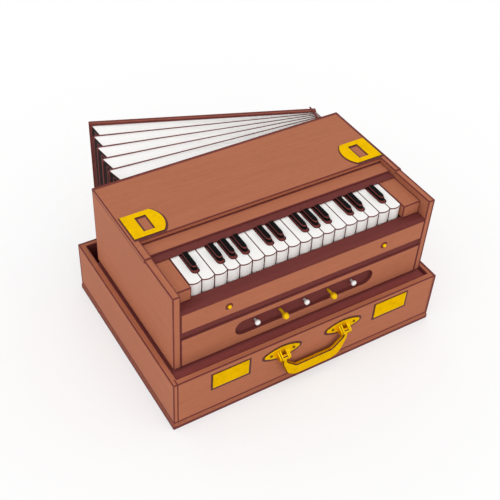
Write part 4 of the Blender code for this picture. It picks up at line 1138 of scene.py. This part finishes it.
def add_floor(stage):
    finish = Finish("floor_paper", 0.9)
    paper = finish.tones(finish.noise(40), stage.floor_colour, 0.998, 1.002)
    material = finish.finish(paper, specular=0.0)
    seen = finish.add("Emission", {"Color": (1, 1, 1, 1), "Strength": 1.0})
    show_seen(finish.tree, finish.shader, seen, "Material Output", stage.floor_lift)
    bm = bmesh.new()
    bmesh.ops.create_grid(bm, x_segments=2, y_segments=2, size=8.0)
    new_object("floor", as_mesh("floor", bm, [material]))


def set_world(scene, stage):
    world = bpy.data.worlds.new("Studio")
    scene.world = world
    world.use_nodes = True
    tree = world.node_tree
    room, seen = tree.nodes["Background"], tree.nodes.new("ShaderNodeBackground")
    for node, strength in ((room, stage.room_light), (seen, 1.0)):
        node.inputs["Color"].default_value = (1, 1, 1, 1)
        node.inputs["Strength"].default_value = strength
    show_seen(tree, room, seen, "World Output")


def add_lamp(stage):
    data = bpy.data.lights.new("soft_lamp", "SUN")
    data.angle = math.radians(90)
    data.energy = stage.key_light
    lamp = new_object("soft_lamp", data)
    lamp.location = (-0.9, -1.3, 1.9)
    aim = Vector((0, 0, 0.12)) - lamp.location
    lamp.rotation_euler = aim.to_track_quat("-Z", "Y").to_euler()


def add_camera(scene, stage):
    data = bpy.data.cameras.new("camera")
    data.lens = stage.lens
    data.sensor_width = 36.0
    data.sensor_fit = "HORIZONTAL"
    data.clip_start = 0.01
    camera = new_object("camera", data)
    aim = Vector(stage.aim).normalized()
    right = aim.cross(Vector((0, 0, 1))).normalized()
    up = right.cross(aim)
    c, s = math.cos(stage.roll), math.sin(stage.roll)
    right, up = c * right + s * up, -s * right + c * up
    turn = Matrix((right, up, -aim)).transposed().to_4x4()
    camera.matrix_world = Matrix.Translation(stage.eye) @ turn
    scene.camera = camera


class HARMONIUM_OT_stage(bpy.types.Operator):
    """Add the floor, the lights and the camera"""

    bl_idname = "harmonium.set_stage"
    bl_label = "Set stage"

    def execute(self, context):
        stage = settings_of("stage")
        add_floor(stage)
        set_world(context.scene, stage)
        add_lamp(stage)
        add_camera(context.scene, stage)
        context.scene.view_settings.view_transform = "Standard"
        return {"FINISHED"}


GROUPS = {"wood": HarmoniumWood, "keys": HarmoniumKeys, "metal": HarmoniumMetal,
          "bellows": HarmoniumBellows, "stage": HarmoniumStage}
OPERATORS = [HARMONIUM_OT_woodwork, HARMONIUM_OT_keys, HARMONIUM_OT_metal,
             HARMONIUM_OT_trim, HARMONIUM_OT_felt, HARMONIUM_OT_bellows,
             HARMONIUM_OT_stage]


class HARMONIUM_PT_panel(bpy.types.Panel):
    """The harmonium's settings and steps"""

    bl_idname = "HARMONIUM_PT_panel"
    bl_label = "Harmonium"
    bl_space_type = "VIEW_3D"
    bl_region_type = "UI"
    bl_category = "Harmonium"

    def draw(self, context):
        for name, group in GROUPS.items():
            box = self.layout.box()
            box.label(text=name.capitalize())
            for prop in group.__annotations__:
                box.prop(settings_of(name), prop)
        for operator in OPERATORS:
            self.layout.operator(operator.bl_idname)


CLASSES = [*GROUPS.values(), *OPERATORS, HARMONIUM_PT_panel]


def register():
    for cls in CLASSES:
        bpy.utils.register_class(cls)
    for name, group in GROUPS.items():
        setattr(bpy.types.Scene, "harmonium_" + name, bpy.props.PointerProperty(type=group))


def unregister():
    for name in GROUPS:
        delattr(bpy.types.Scene, "harmonium_" + name)
    for cls in reversed(CLASSES):
        bpy.utils.unregister_class(cls)


def main():
    register()
    bpy.ops.harmonium.finish_woodwork()
    bpy.ops.harmonium.finish_keys()
    bpy.ops.harmonium.finish_metal()
    bpy.ops.harmonium.add_trim()
    bpy.ops.harmonium.add_felt()
    bpy.ops.harmonium.add_bellows()
    bpy.ops.harmonium.set_stage()


if __name__ == "__main__":
    main()
